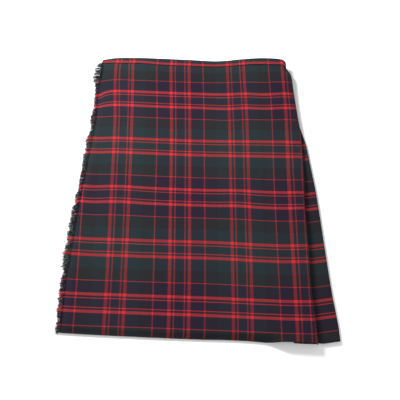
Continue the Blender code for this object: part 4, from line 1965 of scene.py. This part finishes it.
    def _stray(self, run: float) -> float:
        """How far the front stretch's stripes stray from an even count, as the apron's do."""
        across = self.count.across_pull(np.float64(run), np.float64(self.pull_row))
        return float(across - self.jog * (1.0 - smooth(run, *self.jog_ramp)))

    def build(self) -> list[bpy.types.Object]:
        """Builds the three stretches of the waistband.

        Returns:
            The front, back and under stretches.
        """
        first = FRONT_BAND[0].x / THREAD + FRONT_THREAD
        stretches = (
            ("front", self.front(), first, (0.388, 0.0285), "over_apron_cloth"),
            ("back", self.back(), self.back_thread, (0.40, 0.032), "floor"),
            ("under", self.under(), self.under_thread, (0.277, 0.0285), "under_apron_cloth"),
        )
        made = []
        for part, stations, start, flat, below in stretches:
            sheet = self._sheet(f"waistband_{part}_cloth", stations, start)
            cut = Cut(f"waistband_{part}", "tartan_band", flat, Held.FOLDED, (below,))
            made.append(finish_sheet(sheet, self.cloth, cut))
        return made


@dataclass
class GeometryTree:
    """A geometry node tree with named inputs."""

    name: str
    sizes: dict[str, float]

    def start(self) -> tuple[Graph, dict[str, Any]]:
        """Makes the tree and its inputs.

        Returns:
            The graph, and the sockets of its inputs by name.
        """
        tree = bpy.data.node_groups.new(self.name, "GeometryNodeTree")
        tree.interface.new_socket("Geometry", in_out="INPUT", socket_type="NodeSocketGeometry")
        for name in self.sizes:
            tree.interface.new_socket(name, in_out="INPUT", socket_type="NodeSocketFloat")
        tree.interface.new_socket("Finish", in_out="INPUT", socket_type="NodeSocketMaterial")
        tree.interface.new_socket("Geometry", in_out="OUTPUT", socket_type="NodeSocketGeometry")
        graph = Graph(tree)
        entry = graph.node("NodeGroupInput")
        return graph, {socket.name: socket for socket in entry.outputs if socket.name}

    def close(self, graph: Graph, geometry: Any, finish: Any) -> None:
        """Ends the tree in painted geometry.

        Args:
            graph: The tree's graph.
            geometry: The socket of the real geometry.
            finish: The material's socket.
        """
        painted = graph.node("GeometryNodeSetMaterial", {"Geometry": geometry, "Material": finish})
        graph.node("NodeGroupOutput", {0: painted.outputs[0]})

    def apply(
        self, graph: Graph, piece: bpy.types.Object, finish: bpy.types.Material
    ) -> bpy.types.Object:
        """Runs the tree on a piece and keeps its plain result.

        Args:
            graph: The tree's graph.
            piece: The object that the tree grows from.
            finish: The material of the result.

        Returns:
            The piece, as plain mesh.
        """
        modifier = piece.modifiers.new(self.name, "NODES")
        modifier.node_group = graph.tree
        for item in graph.tree.interface.items_tree:
            if item.in_out != "INPUT":
                continue
            if item.name in self.sizes:
                modifier[item.identifier] = self.sizes[item.name]
            elif item.name == "Finish":
                modifier[item.identifier] = finish
        return settle(piece)


class FringeRow(NamedTuple):
    """Where the loose yarns start inside the raw edge, and how far they reach, at one drop."""

    drop: float
    inside: float
    reach: float


FRINGE_ROWS = table(
    FringeRow,  # drop, inside, reach
    (27.0, 1.0, 4.8),
    (36.0, 4.2, 10.2),
    (46.0, 4.8, 11.8),
    (60.0, 4.6, 12.4),
    (74.0, 2.6, 9.6),
    (84.0, 1.2, 6.2),
    (93.0, 0.8, 5.4),
    (104.0, 0.8, 7.4),
    (115.0, 0.8, 6.4),
    (128.0, 0.8, 7.0),
    (142.0, 1.0, 9.4),
    (162.0, 1.2, 10.6),
    (175.0, 1.0, 7.4),
    (184.0, 1.0, 7.0),
    (195.0, 1.0, 9.8),
    (210.0, 1.0, 11.0),
    (222.0, 1.0, 9.2),
    (244.0, 1.2, 10.4),
    (262.0, 1.2, 9.4),
    (290.0, 1.6, 9.2),
    (302.0, 1.8, 8.2),
    (315.0, 2.0, 6.6),
    (326.0, 2.4, 8.8),
    (336.0, 2.6, 7.4),
    (352.0, 3.0, 7.2),
    (363.0, 3.4, 9.2),
    (374.0, 4.0, 7.4),
    (394.0, 5.0, 9.4),
    (404.0, 5.2, 7.0),
    (416.0, 5.2, 7.6),
    (440.0, 4.8, 9.2),
    (474.0, 4.0, 9.2),
    (490.0, 2.0, 6.8),
    (507.0, 1.4, 9.9),
    (517.0, 1.2, 8.6),
    (537.0, 1.0, 10.1),
    (552.0, 1.0, 9.4),
    (572.0, 1.0, 9.8),
    (581.0, 1.0, 7.4),
    (594.0, 1.0, 9.4),
    (LENGTH, 1.0, 9.4),
)


@dataclass
class Fringe:
    """Loose weft yarns along the over apron's raw edge, in tufts that lean together."""

    form: LaidForm
    count: WovenCount
    finish: bpy.types.Material
    top: float = 27.0
    end_clear: float = 0.8
    spacing: float = 0.18
    radius: float = 0.34
    taper: float = 0.5
    steps: int = 6
    sides: int = 4
    droop: float = 2.6
    droop_power: float = 1.5
    tousle: float = 7.6
    tousle_power: float = 1.4
    tousle_scale: float = 260.0
    least_turn: tuple[float, float, float] = (0.0, -0.12, -0.20)
    most_turn: tuple[float, float, float] = (0.0, 0.16, 0.34)
    lean: float = 1.6
    tuft: float = 5.0
    clump: float = 2.4
    shortest: float = 0.74
    longest: float = 1.10
    tuft_share: float = 0.5
    clump_share: float = 0.7
    floor: float = 0.5
    lift: float = 0.72
    seed: int = 7

    def _roots(self) -> bpy.types.Object:
        """Places one root for each yarn, with its row of the cloth and its reach.

        Returns:
            The roots, as loose points.
        """
        form = self.form
        hem = float(form.hem.curve(FRINGED_EDGE[-1].x))
        drop = np.arange(self.top, hem - self.end_clear, self.spacing)
        edge = form.fringed.curve(drop)
        inside = Track(FRINGE_ROWS, 1).curve(drop)
        z = form.apron(edge + inside, drop) + self.lift
        rows = self.count.panel(edge, drop, z, edge)[..., 1]
        reach = (inside + Track(FRINGE_ROWS, 2).curve(drop)) * MM
        mesh = bpy.data.meshes.new("fringe_yarns")
        mesh.from_pydata(place(edge + inside, drop, z).tolist(), [], [])
        for name, values in (("row", rows), ("reach", reach)):
            layer = mesh.attributes.new(name, "FLOAT", "POINT")
            layer.data.foreach_set("value", values.astype(np.float32))
        return add_object("fringe_yarns", mesh)

    @staticmethod
    def _read(graph: Graph, name: str) -> Any:
        """The socket of a number that the geometry carries."""
        found = graph.node("GeometryNodeInputNamedAttribute", {"Name": name}, data_type="FLOAT")
        return found.outputs["Attribute"]

    def _yarn(self, graph: Graph, sizes: dict[str, Any]) -> Any:
        """One straight tapered yarn of unit length that points away from the cloth.

        Args:
            graph: The tree's graph.
            sizes: The sockets of the tree's inputs.

        Returns:
            The yarn's socket.
        """
        line = graph.node("GeometryNodeCurvePrimitiveLine", {"End": (-1.0, 0.0, 0.0)}).outputs[0]
        inputs = {"Curve": line, "Count": self.steps}
        line = graph.node("GeometryNodeResampleCurve", inputs).outputs[0]
        along = graph.node("GeometryNodeSplineParameter").outputs["Factor"]
        marked = graph.node(
            "GeometryNodeStoreNamedAttribute",
            {"Geometry": line, "Name": "along", "Value": along},
            data_type="FLOAT",
            domain="POINT",
        )
        inputs = {"Resolution": self.sides, "Radius": sizes["Radius"]}
        ring = graph.node("GeometryNodeCurvePrimitiveCircle", inputs)
        thin = graph.times(along, graph.maths("SUBTRACT", sizes["Taper"], 1.0))
        inputs = {
            "Curve": marked.outputs[0],
            "Profile Curve": ring.outputs[0],
            "Scale": graph.plus(thin, 1.0),
            "Fill Caps": True,
        }
        return graph.node("GeometryNodeCurveToMesh", inputs).outputs[0]

    @staticmethod
    def _stray(graph: Graph, scale: float, position: Any) -> Any:
        """Soft noise about zero.

        Args:
            graph: The tree's graph.
            scale: How many patches there are to a metre.
            position: The socket of the place.

        Returns:
            The socket of the noise, as a vector.
        """
        inputs = {0: graph.noise(position, scale).outputs["Color"], 1: (0.5, 0.5, 0.5)}
        return graph.node("ShaderNodeVectorMath", inputs, operation="SUBTRACT").outputs[0]

    def _tousled(self, graph: Graph, yarns: Any, sizes: dict[str, Any]) -> Any:
        """Bends the yarns apart and down to just above the floor.

        Args:
            graph: The tree's graph.
            yarns: The socket of the yarns.
            sizes: The sockets of the tree's inputs.

        Returns:
            The socket of the bent yarns.
        """
        along = self._read(graph, "along")
        position = graph.node("GeometryNodeInputPosition").outputs[0]
        amount = graph.times(graph.maths("POWER", along, self.tousle_power), sizes["Tousle"])
        inputs = {0: self._stray(graph, self.tousle_scale, position), "Scale": amount}
        stray = graph.node("ShaderNodeVectorMath", inputs, operation="SCALE").outputs[0]
        fall = graph.times(graph.maths("POWER", along, self.droop_power), sizes["Droop"])
        x, y, z = (graph.plus(*pair) for pair in zip(graph.axes(position), graph.axes(stray)))
        z = graph.maths("MAXIMUM", graph.maths("SUBTRACT", z, fall), sizes["Floor"])
        inputs = {"Geometry": yarns, "Position": graph.vector(x, y, z)}
        return graph.node("GeometryNodeSetPosition", inputs).outputs[0]

    def _growth(self, graph: Graph, sizes: dict[str, Any]) -> tuple[Any, Any]:
        """How long each yarn grows and the way it turns, in tufts and smaller clumps.

        Args:
            graph: The tree's graph.
            sizes: The sockets of the tree's inputs.

        Returns:
            The sockets of the length and the turn.
        """
        position = graph.node("GeometryNodeInputPosition").outputs[0]
        turn = graph.node("FunctionNodeRandomValue", {"Seed": self.seed}, data_type="FLOAT_VECTOR")
        graph.fill(turn, {0: self.least_turn, 1: self.most_turn})
        inputs = {2: self.shortest, 3: self.longest, "Seed": self.seed + 1}
        grow = graph.node("FunctionNodeRandomValue", inputs, data_type="FLOAT").outputs[1]
        tufts = graph.axes(self._stray(graph, 1.0 / (self.tuft * MM), position))
        clumps = graph.axes(self._stray(graph, 1.0 / (self.clump * MM), position))
        length = graph.times(self._read(graph, "reach"), grow)
        for stray, share in ((tufts[1], "Tuft share"), (clumps[2], "Clump share")):
            length = graph.times(length, graph.plus(graph.times(stray, sizes[share]), 1.0))
        sway = graph.vector(z=graph.times(tufts[0], sizes["Lean"]))
        angle = graph.node("ShaderNodeVectorMath", {0: turn.outputs[0], 1: sway}, operation="ADD")
        turned = graph.node("FunctionNodeEulerToRotation", {0: angle.outputs[0]})
        return length, turned.outputs[0]

    def build(self) -> list[bpy.types.Object]:
        """Grows the yarns from their roots.

        Returns:
            The fringe.
        """
        sizes = {
            "Radius": self.radius * MM,
            "Taper": self.taper,
            "Droop": self.droop * MM,
            "Tousle": self.tousle * MM,
            "Lean": self.lean,
            "Tuft share": self.tuft_share,
            "Clump share": self.clump_share,
            "Floor": self.floor * MM,
        }
        tree = GeometryTree("fringe_yarns_tree", sizes)
        graph, inputs = tree.start()
        length, turn = self._growth(graph, inputs)
        placed = graph.node(
            "GeometryNodeInstanceOnPoints",
            {
                "Points": inputs["Geometry"],
                "Instance": self._yarn(graph, inputs),
                "Rotation": turn,
                "Scale": graph.vector(length, 1.0, 1.0),
            },
        )
        real = graph.node("GeometryNodeRealizeInstances", {"Geometry": placed.outputs[0]})
        tree.close(graph, self._tousled(graph, real.outputs[0], inputs), inputs["Finish"])
        piece = tree.apply(graph, self._roots(), self.finish)
        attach(piece, "root")
        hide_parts("fringe")
        return [piece]


@dataclass
class BandStitching:
    """The row of stitches that closes the front waistband along its lower edge."""

    band: Waistband
    finish: bpy.types.Material
    above_edge: float = 1.3
    stitch: float = 2.3
    gap: float = 0.9
    thickness: float = 0.36
    sink: float = 0.06
    first_station: int = 2
    segments: int = 6
    rings: int = 5

    def _line(self) -> bpy.types.Object:
        """The path of the seam on the outer face of the waistband.

        Returns:
            The path, as a row of edges.
        """
        points = []
        for station in self.band.front()[self.first_station :]:
            out = station.gap + HALF - self.sink
            x, z = station.x + out * station.normal[0], station.z + out * station.normal[1]
            points.append(tuple(place(x, station.bottom - self.above_edge, z)))
        edges = [(index, index + 1) for index in range(len(points) - 1)]
        mesh = bpy.data.meshes.new("waistband_stitches")
        mesh.from_pydata(points, edges, [])
        return add_object("waistband_stitches", mesh)

    def _stitch(self, graph: Graph, sizes: dict[str, Any]) -> Any:
        """One stitch, as a long bead.

        Args:
            graph: The tree's graph.
            sizes: The sockets of the tree's inputs.

        Returns:
            The stitch's socket.
        """
        inputs = {"Segments": self.segments, "Rings": self.rings, "Radius": 1.0}
        bead = graph.node("GeometryNodeMeshUVSphere", inputs).outputs[0]
        thick = sizes["Half thickness"]
        inputs = {"Geometry": bead, "Scale": graph.vector(sizes["Half length"], thick, thick)}
        return graph.node("GeometryNodeTransform", inputs).outputs[0]

    def build(self) -> list[bpy.types.Object]:
        """Sets the stitches along the seam.

        Returns:
            The row of stitches.
        """
        sizes = {
            "Spacing": (self.stitch + self.gap) * MM,
            "Half length": self.stitch / 2.0 * MM,
            "Half thickness": self.thickness / 2.0 * MM,
        }
        tree = GeometryTree("waistband_stitches_tree", sizes)
        graph, inputs = tree.start()
        path = graph.node("GeometryNodeMeshToCurve", {"Mesh": inputs["Geometry"]}).outputs[0]
        steps = graph.node("GeometryNodeResampleCurve", mode="LENGTH")
        graph.fill(steps, {"Curve": path, "Length": inputs["Spacing"]})
        tangent = {"Vector": graph.node("GeometryNodeInputTangent").outputs[0]}
        facing = graph.node("FunctionNodeAlignRotationToVector", tangent, axis="X")
        placed = graph.node(
            "GeometryNodeInstanceOnPoints",
            {
                "Points": steps.outputs[0],
                "Instance": self._stitch(graph, inputs),
                "Rotation": facing.outputs[0],
            },
        )
        real = graph.node("GeometryNodeRealizeInstances", {"Geometry": placed.outputs[0]})
        soft = graph.node("GeometryNodeSetShadeSmooth", {"Geometry": real.outputs[0]})
        tree.close(graph, soft.outputs[0], inputs["Finish"])
        piece = tree.apply(graph, self._line(), self.finish)
        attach(piece, "root")
        return [piece]


@dataclass
class Studio:
    """A pale floor, soft lights and the camera, looking down at the kilt from its hem."""

    focal_pixels: float = 1039.0
    frame_pixels: float = 400.0
    sensor: float = 36.0
    nearest: float = 0.05
    tilt: tuple[float, float, float] = (-30.93, -3.76, -0.19)
    offset: tuple[float, float, float] = (-39.8, -202.3, 2094.2)
    floor_size: float = 8.0
    floor_clear: float = 0.0002
    world_strength: float = 0.44
    key_place: tuple[float, float, float] = (-0.83, 0.83, 0.86)
    key_size: float = 0.45
    key_strength: float = 39.0
    fill_place: tuple[float, float, float] = (0.25, -1.15, 1.2)
    fill_size: float = 1.2
    fill_strength: float = 10.0

    def camera(self) -> bpy.types.Object:
        """Sets the camera from its tilt and distance in threads.

        Returns:
            The camera.
        """
        rx, ry, rz = (math.radians(angle) for angle in self.tilt)
        turn = (
            Matrix.Rotation(rx, 3, "X") @ Matrix.Rotation(ry, 3, "Y") @ Matrix.Rotation(rz, 3, "Z")
        )
        eye = -(turn.transposed() @ Vector(self.offset))
        x = (eye.x - FRONT_THREAD) * THREAD + CENTRE_X
        y = MIDDLE - (eye.y - WAIST_THREAD) * THREAD
        z = VIEW_HEIGHT - eye.z * THREAD
        flip = Matrix(((1, 0, 0), (0, -1, 0), (0, 0, -1)))
        axes = flip @ turn.transposed() @ flip
        data = bpy.data.cameras.new("camera")
        data.sensor_width = self.sensor
        data.lens = self.focal_pixels / self.frame_pixels * self.sensor
        data.clip_start = self.nearest
        camera = add_object("camera", data)
        camera.matrix_world = Matrix.Translation(Vector((x, y, z)) * MM) @ axes.to_4x4()
        bpy.context.scene.camera = camera
        return camera

    def floor(self) -> bpy.types.Object:
        """Lays the floor just under the kilt.

        Returns:
            The floor.
        """
        half = self.floor_size / 2.0
        mesh = bpy.data.meshes.new("floor")
        corners = [(-half, -half), (half, -half), (half, half), (-half, half)]
        mesh.from_pydata([(x, y, -self.floor_clear) for x, y in corners], [], [(0, 1, 2, 3)])
        mesh.materials.append(StudioPaper().make())
        floor = add_object("floor", mesh)
        return floor

    def _lamp(
        self, name: str, where: tuple[float, float, float], size: float, strength: float
    ) -> None:
        """Adds a soft square light that faces the middle of the kilt.

        Args:
            name: The light's name.
            where: Its place, in metres.
            size: The length of its side, in metres.
            strength: Its power, in watts.
        """
        data = bpy.data.lights.new(name, "AREA")
        data.shape = "SQUARE"
        data.size = size
        data.energy = strength
        lamp = add_object(name, data)
        lamp.location = where
        lamp.rotation_euler = (-Vector(where)).to_track_quat("-Z", "Y").to_euler()

    def lights(self) -> None:
        """Adds an even sky, a soft key from the left and a weaker fill from the right."""
        world = bpy.data.worlds.new("studio_sky")
        world.use_nodes = True
        sky = world.node_tree.nodes["Background"]
        sky.inputs["Color"].default_value = (1.0, 1.0, 1.0, 1.0)
        sky.inputs["Strength"].default_value = self.world_strength
        bpy.context.scene.world = world
        bpy.context.scene.view_settings.view_transform = "Standard"
        self._lamp("key", self.key_place, self.key_size, self.key_strength)
        self._lamp("fill", self.fill_place, self.fill_size, self.fill_strength)


def main() -> None:
    """Builds the kilt from the floor up, and reports each piece."""
    logging.basicConfig(level=logging.INFO, format="%(message)s")
    form = LaidForm()
    count = WovenCount()
    front_cloth = TartanTwill("tartan_front_wool").make()
    back_cloth = TartanTwill("tartan_back_wool", mottle=0.14).make()
    side_cloth = TartanTwill("tartan_side_wool", warp=Sett(stripes=DARK_STRETCH)).make()
    band_cloth = TartanTwill("tartan_band_wool", relief=0.00016).make()
    studio = Studio()
    studio.camera()
    studio.floor()
    studio.lights()
    band = Waistband(form, count, band_cloth)
    for builder in (
        PleatedBack(form, count, back_cloth),
        UnderApron(form, count, back_cloth),
        SidePleat(form, count, side_cloth),
        OverApron(form, count, front_cloth),
        band,
        BandStitching(band, SewingThread().make()),
        Fringe(form, count, FringeYarn().make()),
    ):
        for piece in builder.build():
            LOG.info("%s: %d faces", piece.name, len(piece.data.polygons))


if __name__ == "__main__":
    main()
